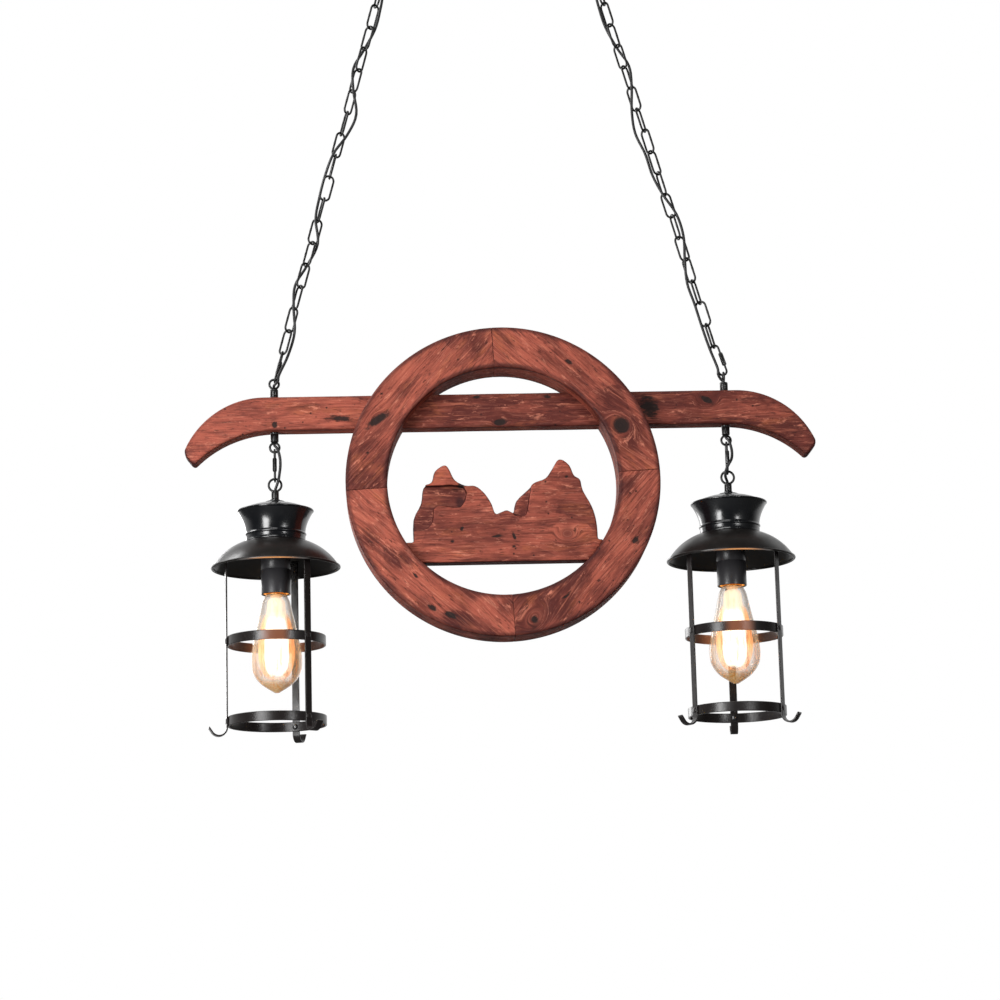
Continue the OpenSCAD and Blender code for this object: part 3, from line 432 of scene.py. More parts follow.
def oval(length, width, weld=0.0):
    """A closed wire: two half circles joined by straight runs, upright in XZ, its round section
    swollen a little at the middle of one run where it is welded."""
    r, run = (width - wire) / 2, (length - width) / 2
    arc = np.linspace(0, pi, 19)[:-1]
    bend = np.stack([r * np.cos(arc), np.zeros(18), run + r * np.sin(arc)], 1)
    leg = np.stack([np.full(12, -r), np.zeros(12), np.linspace(run, -run, 13)[:-1]], 1)
    half = np.vstack([bend, leg])
    path = np.vstack([half, half * (-1, 1, -1)])
    along = direction(np.roll(path, -1, 0) - np.roll(path, 1, 0))
    near = np.exp(-((path[:, 2] / 0.0016) ** 2)) * (path[:, 0] < 0)
    return wired(path, np.cross(along, (0, 1, 0)), (wire / 2 * (1 + weld * near))[:, None, None])


def turned(points, angle):
    """Points turned about the Z axis by an angle in radians."""
    c, s = cos(angle), sin(angle)
    return points @ np.array([[c, s, 0], [-s, c, 0], [0, 0, 1]])


def tilted(points, angle):
    """Points leaned in XZ about the origin by an angle in radians."""
    c, s = cos(angle), sin(angle)
    return points @ np.array([[c, 0, -s], [0, 1, 0], [s, 0, c]])


def on_chain(points, up):
    """Points drawn round the origin, put on the left chain's tilted line."""
    return tilted(points + [0, 0, up], chain_tilt) + [-eye_x, 0, eye_z]


def turned_profile(profile, sides=64):
    """A profile of radius and height turned once round the Z axis; spokes are even."""
    turn = spokes(sides)
    r, z = np.asarray(profile, float).T[:, :, None]
    return np.stack([r * np.cos(turn), r * np.sin(turn), z + 0 * turn], -1)


def sleeve(radius, half):
    """The screw link's hexagonal nut: the radius is a hexagon's, held under its rounded corners,
    over a profile with bevelled ends and a bore."""
    turn, bore = spokes(48), 0.00146
    flat = np.minimum(radius * cos(pi / 6) / np.cos((turn % (pi / 3)) - pi / 6), radius * 0.965)
    z = np.array([-half, -half + 0.0006, -half + 0.0012, half - 0.0012, half - 0.0006, half])
    share = np.array([0.8, 0.92, 1, 1, 0.92, 0.8])[:, None]
    outer = np.stack([share * flat * np.cos(turn), share * flat * np.sin(turn),
                      z[:, None] + 0 * turn], -1)
    return np.vstack([outer, turned_profile([[bore, half], [bore, -half]], 48)])


def screw_link():
    """The long link, closed by its threaded sleeve on one leg."""
    return [oval(screw_len, 0.013), sleeve(0.0031, 0.0085) + [-0.0051, 0, 0]]


for side in sides:
    links = [skin(mirrored(on_chain(turned(oval(0.036, 0.0155, weld=0.12), -radians(turn)),
                                    link_mid_first + k * joint_step), side), closed=True)
             for k, turn in enumerate(link_turns[side])]
    piece(f"chain_links_{side}", links, "frame", chain_paint, [f"chain_{side}"])
    face, lean = (90, 0) if side == "left" else (0, across_lean)
    made = [skin(mirrored(on_chain(tilted(turned(r, -radians(face)) - [0, 0, screw_end], lean)
                                   + [0, 0, screw_end], 0.02315), side), closed=True)
            for r in screw_link()]
    piece(f"chain_screw_link_{side}", made, "frame", chain_paint,
          [f"top_link_{side}"])
    made = [skin(mirrored(turned(r, pi / 2) + [-eye_x, 0, beam_low - 0.04285], side),
                 closed=True) for r in screw_link()]
    piece(f"hanging_link_{side}", made, f"link_{side}", chain_paint,
          [f"link_{side}"])


# Each beam eye is a turned ferrule with a wire loop welded on, screwed to a hollow tube that
# runs down through the beam, so that the cord can pass inside.
def wire_loop(outer, thick, rise):
    """A round wire loop, upright in XZ, its lowest point sunk into what carries it."""
    turn, r = spokes(56), (outer - thick) / 2
    out = np.stack([np.cos(turn), 0 * turn, np.sin(turn)], 1)
    return wired(out * r + [0, 0, rise], out, thick / 2)


def ferrule(r, h, bore=0.0022):
    """A turned collar: rolled foot, shallow groove, straight wall, rounded shoulder and bore."""
    return turned_profile([
        [bore, 0.0002], [r * 0.97, 0.0002], [r, 0.0006], [r, 0.0016], [r * 0.93, 0.002],
        [r * 0.93, 0.0026], [r * 0.985, 0.003], [r * 0.985, h - 0.0016], [r * 0.96, h - 0.0007],
        [r * 0.88, h - 0.0002], [r * 0.75, h], [bore, h]])


ferrule_r, ferrule_h = 0.0052, 0.013
for side in sides:
    for name, high, up, turn in (("upper", beam_top, 1, 0 if side == "left" else pi / 2),
                                 ("lower", beam_low, -1, 0)):
        rows = (ferrule(ferrule_r, ferrule_h), wire_loop(0.015, 0.003, ferrule_h + 0.0067))
        made = [skin(mirrored(turned(r * (1, 1, up), turn) + [-eye_x, 0, high], side),
                     closed=True) for r in rows]
        piece(f"beam_eye_{name}_{side}", made, "frame", chain_paint,
              [f"{name}_eye_{side}"])


# The wood is pine, stained red brown, rubbed back and lacquered: streaks and ring lines run
# along the grain, knots and filled cracks are dark, and an edge value darkens each piece: partly
# stain gathered at edges and joints, partly painted shade on side walls and in hollows.
def stained_pine():
    """The stained wood from grain coordinates, with X along the grain: noises stretched along it
    are streaks, threads, strokes and torn fibres, the sine of a slow one is the ring lines, and
    cells are tool marks and specks. Each lays its own colour over those before it."""
    net = Shared("stained_pine", Grain="Vector", Tone="Float", Mark="Float", Edge="Float")
    mul, add, sub, ramp, noise = net.mul, net.add, net.sub, net.ramp, net.noise
    grain = net.given["Grain"]
    sway = net.node("TexNoise", {"Vector": grain, "Scale": 13.0, "Detail": 3.0}).outputs["Color"]
    sway = net.vector("MULTIPLY", net.vector("SUBTRACT", sway, (0.5, 0.5, 0.5)),
                      (0.05, 0.008, 0.008))
    place = net.vector("ADD", grain, sway)
    lines = net.math("SINE", mul(noise(place, (2.6, 19, 19), 2.0, 0.4), 110.0))
    late = ramp(lines, 0.1, 1.0)
    streak = noise(place, (12, 250, 250), 6.0, 0.68)
    thread = noise(place, (24, 680, 680), 5.0, 0.7)
    cloud = noise(place, (9, 30, 30), 5.0, 0.66)
    patch = noise(grain, (14, 38, 38), 6.0, 0.7)
    stroke = noise(place, (75, 520, 520), 3.0, 0.6)
    torn = noise(place, (48, 160, 160), 5.0, 0.75)
    hacks = net.node("TexVoronoi", {"Vector": net.vector("MULTIPLY", place, (17, 62, 62)),
                                    "Scale": 1.0})
    hack = net.node("SeparateColor", {0: hacks.outputs["Color"]}).outputs[0]
    specks = net.node("TexVoronoi", {"Vector": grain, "Scale": 62.0}).outputs
    few = net.node("SeparateColor", {0: specks["Color"]}).outputs[1]
    speck = mul(ramp(specks["Distance"], 0.11, 0.045), ramp(few, 0.62, 0.72))
    tone = add(add(cloud, mul(net.given["Tone"], 0.17)), mul(sub(hack, 0.5), 0.16))
    body = net.mix(ramp(tone, 0.30, 0.70), (0.105, 0.022, 0.017), (0.385, 0.092, 0.058))
    # Edge value: stain at edges and joints, and painted shade on side walls and in hollows.
    edge_stain_and_painted_shade = add(net.given["Edge"], sub(patch, 0.5))
    mark = ramp(add(net.given["Mark"], mul(sub(torn, 0.5), 1.9)), 0.45, 0.85)
    for mask, share, colour in (
            (ramp(patch, 0.52, 0.70), 0.5, (0.45, 0.125, 0.050)),
            (ramp(torn, 0.56, 0.68), 0.75, (0.68, 0.235, 0.15)),
            (ramp(torn, 0.44, 0.30), 0.75, (0.065, 0.016, 0.014)),
            (ramp(patch, 0.42, 0.30), 0.6, (0.090, 0.020, 0.018)),
            (ramp(streak, 0.47, 0.28), 0.62, (0.060, 0.014, 0.011)),
            (ramp(streak, 0.55, 0.70), 0.55, (0.60, 0.185, 0.11)),
            (late, 0.30, (0.085, 0.018, 0.014)),
            (ramp(thread, 0.50, 0.64), 0.50, (0.075, 0.016, 0.012)),
            (ramp(thread, 0.46, 0.34), 0.25, (0.68, 0.24, 0.16)),
            (ramp(stroke, 0.61, 0.70), 0.75, (0.026, 0.009, 0.008)),
            (speck, 0.85, (0.018, 0.009, 0.008)),
            # Dark colour from the edge value: stain at edges, painted shade on walls and in
            # hollows.
            (ramp(edge_stain_and_painted_shade, 0.25, 1.0), 0.85, (0.036, 0.0095, 0.0105)),
            (mark, 0.95, (0.017, 0.012, 0.011))):
        body = net.mix(mul(mask, share), body, colour)
    height = mul(streak, 0.6)
    for value, share in ((late, -0.22), (torn, 0.55), (hack, 0.10), (speck, -0.25),
                         (mark, -0.4)):
        height = add(height, mul(value, share))
    return net.ends(Colour=body, Height=height,
                    Roughness=add(ramp(streak, 0.3, 0.7, 0.56, 0.44), mul(mark, 0.15)))


pine_group = stained_pine()


def pine(name, deep):
    """A wood finish from a piece's own grain, tone, mark and edge values, glossier where it
    faces forward or back."""
    made = Finish(name, 0.5)
    facing = made.node("SeparateXYZ", {0: made.node("NewGeometry").outputs["Normal"]})
    made.give(Specular_IOR_Level=made.ramp(made.math("ABSOLUTE", facing.outputs["Y"]), 0.3, 0.9,
                                           0.01, 0.15))
    given = {key.capitalize(): made.node("Attribute", attribute_name=key).outputs[output]
             for key, output in (("grain", "Vector"), ("tone", "Fac"), ("mark", "Fac"),
                                 ("edge", "Fac"))}
    return made.dress(pine_group, deep, **given)


def spots(x, z, places):
    """Dark marks: for each, one minus the distance in its own long and short half sizes, after
    turning by its angle, and the largest of them all. Places are in millimetres and degrees."""
    mark = np.zeros_like(x)
    for place in places:
        (px, pz, long, short), angle = mm(place[:4]), radians(place[4])
        c, s = cos(angle), sin(angle)
        u, v = (x - px) * c + (z - pz) * s, (z - pz) * c - (x - px) * s
        mark = np.maximum(mark, 1.25 * (1 - 0.55 * np.hypot(u / long, v / short)))
    return np.clip(mark, 0, 1.2)


def round_knots(along, over, knots):
    """Grain coordinates bent round each knot: inside its reach they turn into the distance from
    its centre, so that the lines close to rings, and outside they are pushed apart."""
    for ka, ko, reach in knots:
        away = np.hypot((along - ka) / 1.4, over - ko)
        near = np.exp(-((away / reach) ** 4))
        push = np.exp(-(((along - ka) / (3.0 * reach)) ** 2) - ((over - ko) / (1.6 * reach)) ** 2)
        over = over - 0.6 * push * (over - ko)
        over = over * (1 - near) + near * (ko + away)
        along = along * (1 - 0.85 * near) + 0.85 * near * ka
    return along, over


def rounded_section(steps_w, steps_h, r, arc=4):
    """A rounded rectangle's outline as rows of: share of each half width, offset by the corner's
    radius along each, and how near a corner it is."""
    parts = []
    for q, (sx, sy) in enumerate(((1, 1), (-1, 1), (-1, -1), (1, -1))):
        a, one = np.linspace(0, pi / 2, arc + 1) + q * pi / 2, np.ones(arc + 1)
        parts.append(np.stack([sx * one, sy * one, r * np.cos(a), r * np.sin(a), one], 1))
        n = steps_w if q % 2 == 0 else steps_h
        t, one = np.linspace(0, 1, n + 2)[1:-1], np.ones(n)
        t = 0.5 - 0.5 * np.cos(pi * t) * (1 - 0.25 * np.sin(pi * t) ** 2)
        run = ([sx * (1 - 2 * t), sy * one, 0 * t, sy * r * one] if q % 2 == 0 else
               [sx * one, sy * (1 - 2 * t), sx * r * one, 0 * t])
        edge = np.clip(1 - np.minimum(t, 1 - t) * n * 0.42, 0, 1)
        parts.append(np.stack([*run, edge], 1))
    return np.vstack(parts)


def hewn(points, size, seed):
    """A slow, gentle wave over a worked surface: five crossing sines of fixed phases."""
    rng = np.random.default_rng(seed)
    total = np.zeros(points.shape[:-1])
    for _ in range(5):
        k = rng.normal(size=3) * 48
        total += np.sin(points @ k + rng.uniform(0, 2 * pi))
    return total * size / 5


def grained(along, depth, over, tone, mark, edge):
    """The values that a wood finish reads."""
    return {"grain": np.stack([along, depth, over], 1), "tone": tone, "mark": mark, "edge": edge}


# The beam is one plank, sawn straight along its middle and curved down at both tips, with
# softened edges. Its left half is lighter, its right half is darker.
beam_wood = pine("pine_beam", 0.0011)
half_t, beam_round, beam_end, tip_round = 0.014, 0.0024, 0.4, 0.0055


def beam_edge(start, radius, end, z):
    """A long edge of the beam: straight from the middle, then an arc down to each tip, its
    points closer together toward the tip."""
    turn = np.sin(np.linspace(0, 1, 60) * pi / 2) * asin((end - start) / radius)
    arc = np.stack([start + radius * np.sin(turn), z - radius * (1 - np.cos(turn))], 1)
    half = np.vstack([np.stack([np.linspace(0, start, 110), np.full(110, z)], 1), arc[1:]])
    return np.vstack([half[:0:-1] * (-1, 1), half])


tops = beam_edge(0.298, 0.109, beam_end, beam_top)
lows = beam_edge(0.285, 0.141, beam_end - 0.0127, beam_low)
section = rounded_section(16, 11, beam_round)
centre, half = (tops + lows) / 2, (tops - lows) / 2
height = np.linalg.norm(half, axis=1)
out = half / height[:, None]
run = np.concatenate([[0], np.cumsum(np.linalg.norm(np.diff(centre, axis=0), axis=1))])
tip = np.minimum(run, run[-1] - run)
near = np.minimum(tip, tip_round)
inset = (tip_round - np.sqrt(np.maximum(tip_round ** 2 - (tip_round - near) ** 2, 0)))[:, None]
over = ((height - beam_round)[:, None] * section[:, 0] + section[:, 2]
        - inset * np.sign(section[:, 0]))
depth = ((half_t - beam_round) * section[:, 1] + section[:, 3])[None, :] * (1 - inset / half_t)
rows = np.stack([centre[:, None, 0] + over * out[:, None, 0], depth,
                 centre[:, None, 1] + over * out[:, None, 1]], -1)
wave = hewn(rows, 0.0006, 4)
rows[..., 1] += wave * np.sign(section[:, 1]) * (np.abs(rows[..., 1]) > 0.011)
rows[..., 1] = np.clip(rows[..., 1], -0.0142, 0.0141)
body = skin(rows)
x, y, z = body[0].T
marks = spots(x, z - beam_mid, [(-205, -8, 20, 4, -4), (-285, -14, 5, 3, 80),
                                (-2, -16, 9, 4, 5), (262, 9, 12, 4, -30), (60, 16, 6, 2.5, 0),
                                (188, 1, 12, 16, 20), (-30, 17, 6, 2, 8)])
marks *= (y < 0) | (np.abs(z - beam_mid) > 0.02)
# Darker at the rounded corners and the tips (stain and end grain), and on the top and bottom walls
# (painted shade).
edge = np.tile(section[:, 4] * 0.5 + 0.22 * (np.abs(section[:, 1]) < 0.99), (len(rows), 1))
edge = np.concatenate([(edge + 0.7 * np.clip(1 - tip / 0.007, 0, 1)[:, None]).ravel(), [1, 1]])
tone = 0.75 - 1.5 * (1 / (1 + np.exp(-(x + 0.04) / 0.05))) + 0.25 * np.sin(x * 31)
tone = np.where(x > 0.3, tone + 0.25, tone)
tone = tone - 0.9 * np.clip((np.abs(x) - 0.385) / 0.012, 0, 1)
along, over = round_knots(x, z, [(-0.002, beam_mid - 0.016, 0.006),
                                 (0.262, beam_mid + 0.009, 0.010)])
piece("wood_beam", [body], "frame", beam_wood, ["beam"],
      grained(along, y + 0.3, over, tone, marks, edge))


# The ring is four quarters, butted and glued, each sawn from a plank whose grain runs along
# its chord. Its edges are softened and its joints show as fine dark lines. The lower left
# quarter has the most uneven stain, with a dark patch near its foot.
ring_wood = pine("pine_ring", 0.0012)
quarters = ["ring_top_right", "ring_top_left", "ring_bottom_left", "ring_bottom_right"]
boxes = [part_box(q) for q in quarters]
ring_z = (max(b[1].z for b in boxes) + min(b[0].z for b in boxes)) / 2
ring_r = max(b[1].x for b in boxes)
half_w, half_d, mid_y, ring_round, rings = 0.026, 0.0278, -0.0142, 0.003, 112
mid_r = ring_r - half_w
ring_marks = [(149, 67, 11, 12.5, 10), (-155, 80, 18, 5.5, 33), (-163, 75, 6, 4, 40),
              (34, -177, 4.5, 5, 0), (-70, -170, 10, 3.5, -18), (-92, -160, 6, 3, -30),
              (86, 150, 5, 2.5, -30), (75, -148, 8, 2, 40), (163, -80, 6, 5, 60),
              (-128, -95, 4, 2, -50), (-112, -120, 5, 2, -45), (-169, 37, 3, 3, 0),
              (-150, 113, 2, 2, 0), (115, -130, 4, 2, 20)]
section = rounded_section(18, 20, ring_round)
order = np.minimum(np.arange(rings), np.arange(rings)[::-1])
inset = np.where(order == 0, 0.0006, 0.0)[:, None]
lap = mm([0.05, 0.4, 1.0, 2.2]) / ring_r
joint = np.repeat(np.array([0.9, 0.6, 0.2, 0.0])[np.minimum(order, 3)], len(section))
# Side walls, inner and outer, which carry painted shade through the edge value.
wall = np.concatenate([np.tile(np.abs(section[:, 1]) < 0.99, rings), [0, 0]])


def in_grain(x, z, turn):
    """Distances along and across a grain that leans by an angle."""
    return x * cos(turn) + z * sin(turn), z * cos(turn) - x * sin(turn)


for k, (name, base, uneven) in enumerate(zip(quarters, (0.05, 0.25, 0.7, 0.0),
                                             (0.45, 0.45, 1.3, 0.6))):
    first = radians(3 + 90 * k)
    angle = first + np.linspace(0, 1, rings) * pi / 2
    angle[:4], angle[-4:] = first + lap, first + pi / 2 - lap[::-1]
    radius = (mid_r + (half_w - ring_round) * section[:, 0] + section[:, 2]
              - inset * np.sign(section[:, 0]))
    depth = (mid_y + (half_d - ring_round) * section[:, 1] + section[:, 3]
             - inset * np.sign(section[:, 1]))
    rows = np.stack([radius * np.cos(angle)[:, None], depth + 0 * radius,
                     ring_z + radius * np.sin(angle)[:, None]], -1)
    wave = hewn(rows, 0.0007, 11 + k)
    rows[..., 1] += np.where(rows[..., 1] < mid_y, wave, 0) * (section[:, 4] < 0.5)
    body = skin(rows)
    x, y, z = body[0].T
    z = z - ring_z
    turn = first + 3 * pi / 4
    knots = [(*in_grain(*spot, turn), reach) for spot, reach in (
        ((0.149, 0.067), 0.014), ((0.034, -0.175), 0.015), ((-0.156, 0.080), 0.007))]
    along, over = round_knots(*in_grain(x, z, turn), knots)
    mark = spots(x, z, ring_marks) * (y < mid_y + 0.01)
    # Darker at the rounded edges and the joints (stain), and on the inner and outer walls (painted
    # shade).
    edge = np.concatenate([np.tile(section[:, 4], rings), [1, 1]])
    edge = np.maximum(edge * 0.75 + 0.42 * wall, np.concatenate([joint, [1, 1]]))
    tone = base + 0.35 * np.sin(along * 23 + k * 2) + uneven * (
        np.sin(x * 88 + z * 31 + 1.3 + k) * np.sin(z * 97 - x * 26 + 0.6 + 2 * k))
    if name == "ring_bottom_left":
        u, v = (x + 0.048) * 0.97 - (z + 0.176) * 0.24, (z + 0.176) * 0.97 + (x + 0.048) * 0.24
        stain = np.exp(-((u / 0.034) ** 4) - (v / 0.0095) ** 4)
        tone -= 1.3 * stain
        edge = np.maximum(edge, 0.62 * stain)
    piece("wood_" + name, [body], "frame", ring_wood, [name],
          grained(along + 0.7 * k, y + 0.11 * k, over + 0.37 * k, tone, mark, edge))


# The mountain board is one plank, fretted along the skyline and carved back in two fields
# behind the left and right peaks. The cut edges are rounded over and darker, partly by stain and
# partly by painted shade; the carved fields and one inner corner carry painted shade.
board_wood = pine("pine_board", 0.0010)


def read_points(mesh, what="co"):
    """The places or normals of a mesh's points."""
    values = np.empty(len(mesh.vertices) * 3)
    mesh.vertices.foreach_get(what, values)
    return values.reshape(-1, 3)


merged = bpy.data.meshes.new("mountain_solid")
parts, faces, start = [], [], 0
for name in ("mountain_back", "mountain_front"):
    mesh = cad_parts[name].data
    parts.append(read_points(mesh))
    faces += [[v + start for v in p.vertices] for p in mesh.polygons]
    start += len(mesh.vertices)
points = np.vstack(parts)
_, first, back = np.unique(np.round(points, 6), axis=0, return_index=True, return_inverse=True)
faces = [[int(v) for v in back.ravel()[f]] for f in faces]
merged.from_pydata(points[first].tolist(), [], [f for f in faces if len(set(f)) == 3])
board = placed("wood_mountains", merged)
remesh = board.modifiers.new("remesh", "REMESH")
remesh.mode, remesh.voxel_size = "VOXEL", 0.00125
soften = board.modifiers.new("soften", "SMOOTH")
soften.factor, soften.iterations = 0.5, 7
solid = bpy.data.meshes.new_from_object(board.evaluated_get(
    bpy.context.evaluated_depsgraph_get()))
board.modifiers.clear()
board.data = solid
points, carved_y, cell_size = read_points(solid), -0.017, 0.0013
points[:, 1] += hewn(points, 0.0004, 31) * (points[:, 1] < carved_y)
solid.vertices.foreach_set("co", points.ravel())
normals = read_points(solid, "normal")
x, y, z = points.T
z = z - ring_z
mark = spots(x, z, [(-52.6, -58, 3.5, 2.5, 60), (-7.6, -68.5, 9, 2, 4), (12.5, -70, 6, 1.8, -70),
                    (12, -82, 3, 2, 0), (-65, -75, 3, 2, 0), (58, 10, 4, 1.5, -20),
                    (-52, -3, 6, 3.5, 10), (80, 6, 3.5, 2.5, 30)])
mark *= y < -0.016
knot = np.clip(1.6 - np.hypot((x - 0.079) / 0.0095, (z + 0.067) / 0.0125), 0, 1)
# Painted shade in the two carved fields, by how deep a point lies.
back = np.clip((y + 0.0255) / 0.004, 0, 1) * (y < carved_y)
low = np.clip((-0.098 - z) / 0.003, 0, 1)
# The outline's dark rim, partly stain at the cut edge and partly painted shade: cells that hold
# the board are worn away four times from outside, and a point is darker the sooner its cell goes.
cell = np.stack([(x + 0.14) / cell_size, (z + 0.12) / cell_size], 1).astype(int)
filled = np.zeros((230, 140), bool)
filled[cell[:, 0], cell[:, 1]] = True
kept, around = np.zeros(filled.shape), [(0, 0), (1, 0), (-1, 0), (0, 1), (0, -1)]
filled = np.any([np.roll(filled, a, (0, 1)) for a in around], 0)
for _ in range(4):
    filled = np.all([np.roll(filled, a, (0, 1)) for a in around], 0)
    kept += filled
outline_stain_and_painted_shade = np.array([0.75, 0.6, 0.3, 0.1, 0.0])[kept[cell[:, 0], cell[:, 1]].astype(int)]
outline_stain_and_painted_shade *= (y < carved_y) & (z > -0.09)
# A painted shadow in an inner corner of the left carved field.
corner = np.exp(-((x + 0.054) / 0.006) ** 2 - ((z + 0.024) / 0.009) ** 2) * back
# Sides darker, partly stain and partly painted shade; the foot is darker too.
edge = np.clip(1.25 - 1.25 * np.abs(normals[:, 1]), 0, 1) * 0.9 + 0.35 * low
edge += 0.15 * back + 1.1 * corner + 0.55 * knot + outline_stain_and_painted_shade
# Tone: darker in the carved fields (painted shade), at the knot and toward the right.
tone = 0.25 - 1.1 * back - 0.3 * knot - 0.4 * np.clip((x - 0.02) / 0.05, 0, 1)
tone += 1.3 * (y < -0.023) * (z > -0.005) * (x < -0.04)
tone += 0.9 * (y < -0.023) * (z > 0.012) * (x > 0.05)
along, over = round_knots(x, z, [(0.079, -0.067, 0.010)])
dressed(solid, board_wood, grained(along + 3.1, y + 0.2, over + 0.9, tone, mark, edge))
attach(board, "frame")
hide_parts("mountain_back", "mountain_front")


# Four zinc plated screws hold the ring to the back of the beam, and a hollow steel tube runs
# down through the beam at each lantern.
def plated(name, tint, rough):
    """A plated steel or brass finish with fine turning marks and faint stains."""
    made = Finish(name, rough, Metallic=1.0)
    stain = made.noise(made.spot(), 90, 4)
    made.give(Base_Color=made.mix(made.ramp(stain, 0.4, 0.7), tint,
                                  tuple(0.72 * c for c in tint)),
              Roughness=made.ramp(stain, 0.3, 0.7, rough - 0.06, rough + 0.1))
    made.bump(made.noise(made.spot(), (300, 300, 2400), 2), 0.00008)
    return made


zinc = plated("zinc", (0.62, 0.61, 0.58), 0.34)
cross_x = sqrt(mid_r ** 2 - (beam_mid - ring_z) ** 2)
turn = spokes(48)
r, d = mm([[3.8, 12.5], [4, 13.5], [3.6, 14.4], [2.6, 14.9], [1.3, 15.1]]).T[:, :, None]
slot_depth = 0.0009 * np.clip(1.2 - np.minimum(np.abs(np.sin(turn)), np.abs(
    np.cos(turn))) * r / 0.0005, 0, 1) * (r < 0.0028)
px, pz = r * np.cos(turn), r * np.sin(turn)
heads = [skin(np.stack([px + sx * cross_x + step, d - slot_depth + 0 * px, pz + beam_mid], -1))
         for sx in (-1, 1) for step in (-0.012, 0.012)]
piece("screw_heads", heads, "frame", zinc, ["frame_screws"])
for side in sides:
    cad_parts[f"tube_{side}"].data.materials[0] = zinc.material


# A lamp loop on a turned collar carries each lantern. The stem's nut, washer and nipple hold
# the crown and the shade, spun from black painted sheet with rolled rims.
gloss_paint = black_finish("gloss_paint", (0.0035, 0.004, 0.0052), (0.03, 0.03, 0.03), 0.2,
                           300, 0.00006, Specular_IOR_Level=0.85)
crown_top, crown_rim = -0.0903, -0.1023
shade_z, shade_r, shade_bow, roll_r, sheet = -0.1408, 0.081, 0.073, 0.0016, 0.0012
shade_paint = black_finish("shade_paint", (0.009, 0.0075, 0.0065), (0.06, 0.05, 0.045), 0.33,
                           300, 0.00006)


def hung(rows, side, closed=True, turns=True):
    """The skin of rows drawn round the stem's line, turned as the lantern hangs and carried
    under the beam."""
    if turns:
        rows = turned(rows, radians(70 if side == "left" else 93))
    return skin(mirrored(rows + [-eye_x, 0, beam_low], side), closed)


def arc(cx, cz, r, first, last, n):
    """Points on a circle between two angles in degrees."""
    a = np.radians(np.linspace(first, last, n))
    return np.stack([cx + r * np.cos(a), cz + r * np.sin(a)], 1)


flare = np.linspace(0, 1, 26)
side_r = 0.0376 + 0.0102 * np.clip((flare - 0.22) / 0.78, 0, 1) ** 1.7
side_z = -0.1368 + 0.0345 * flare
dome_r = (0.0478 ** 2 + 0.012 ** 2) / (2 * 0.012)
lid_r = np.linspace(0.0462, 0.0049, 30)
lid = np.stack([lid_r, crown_top - dome_r + np.sqrt(dome_r ** 2 - lid_r ** 2)], 1)
low_side = np.stack([side_r, side_z], 1)
bead = arc(float(np.interp(-0.1318, side_z, side_r)) - 0.0004, -0.1318, 0.0015, -62, 62, 9)
crown_profile = np.vstack([
    [[0.0382, shade_z], [0.0380, -0.1398], [0.0376, -0.1386]], low_side[side_z < -0.1335],
    bead, low_side[side_z > -0.1301], arc(0.0470, crown_rim + 0.0004, 0.0012, -60, 75, 9), lid,
    [[0.0049, crown_top - sheet]], lid[-2::-1] - [0, sheet],
    low_side[::-1] - [sheet, 0.0004], [[0.0364, shade_z]]])

dome_x = 0.038 - shade_bow * sin(radians(17))
dome_z = shade_z - shade_bow * cos(radians(17))
rim_turn = np.degrees(np.arccos((shade_r - roll_r - dome_x) / shade_bow))
rim_z = dome_z + shade_bow * sin(radians(rim_turn))
shade_profile = np.vstack([
    [[0.0049, shade_z], [0.020, shade_z], [0.036, shade_z]],
    arc(0.036, shade_z - 0.004, 0.004, 90, 75, 4)[1:],
    arc(dome_x, dome_z, shade_bow, 72.4, rim_turn + 0.4, 44),
    arc(shade_r - roll_r, rim_z - 0.0004, roll_r, 60, -215, 20),
    arc(dome_x, dome_z, shade_bow - sheet, rim_turn + 0.6, 72.4, 44),
    [[0.036, shade_z - sheet], [0.0049, shade_z - sheet]]])

# A painted glow of bulb light on the front of the shade's rolled lip, brightest in the middle.
net = shade_paint
beside = net.math("ABSOLUTE", net.sub(net.math("ABSOLUTE", net.spot("X")), eye_x))
painted_lip_glow = net.mul(net.ramp(net.spot("Y"), -0.066, -0.072),
              net.ramp(net.spot("Z"), beam_low + rim_z - 0.0003, beam_low + rim_z - 0.0011))
net.give(Emission_Color=net.mix(net.ramp(beside, 0.036, 0.006), (0.10, 0.09, 0.085),
                                (0.75, 0.33, 0.12)),
         Emission_Strength=net.mul(painted_lip_glow, 0.9))

collar = turned_profile(mm([[3.06, -86], [4.6, -86], [4.8, -85.5], [4.8, -77.2], [4.6, -76.2],
                            [4, -75.4], [3.06, -75.2]]))
nut = turned_profile(mm([[2, -86.2], [5.8, -86.2], [6, -86.8], [6, -88.6], [5.8, -89.2],
                         [2, -89.2]]), 6)
pin = turned_profile(mm([[2, -79.5], [2.8, -79.5], [3, -80], [3, -88], [2, -88]]), 40)
washer = turned_profile(mm([[4, -89.3], [12.1, -89.3], [12.5, -89.6], [12.5, -90],
                            [12.1, -90.3], [4, -90.3]]), 72)
thread = np.arange(61)
wall = np.stack([4.8 - 0.2 * (thread % 2), -90 - thread * 1.04], 1)
nipple = turned_profile(mm([[2, -89.8], *wall, [2, wall[-1, 1]]]), 40)
for side in sides:
    piece(f"lamp_ring_{side}", [hung(r, side, turns=False) for r in (
        collar, wire_loop(0.019, 0.003, -0.0680))], f"loop_{side}", chain_paint,
        [f"lamp_loop_{side}"])
    piece(f"lantern_stem_{side}", [hung(r, side) for r in (nut, pin, washer, nipple)],
          f"lantern_{side}", gloss_paint, [f"stem_{side}"])
    for name, profile, paint in (("crown", crown_profile, gloss_paint),
                                 ("shade", shade_profile, shade_paint)):
        piece(f"lantern_{name}_{side}", [hung(turned_profile(profile, 144), side)],
              f"lantern_{side}", paint, [f"{name}_{side}"])


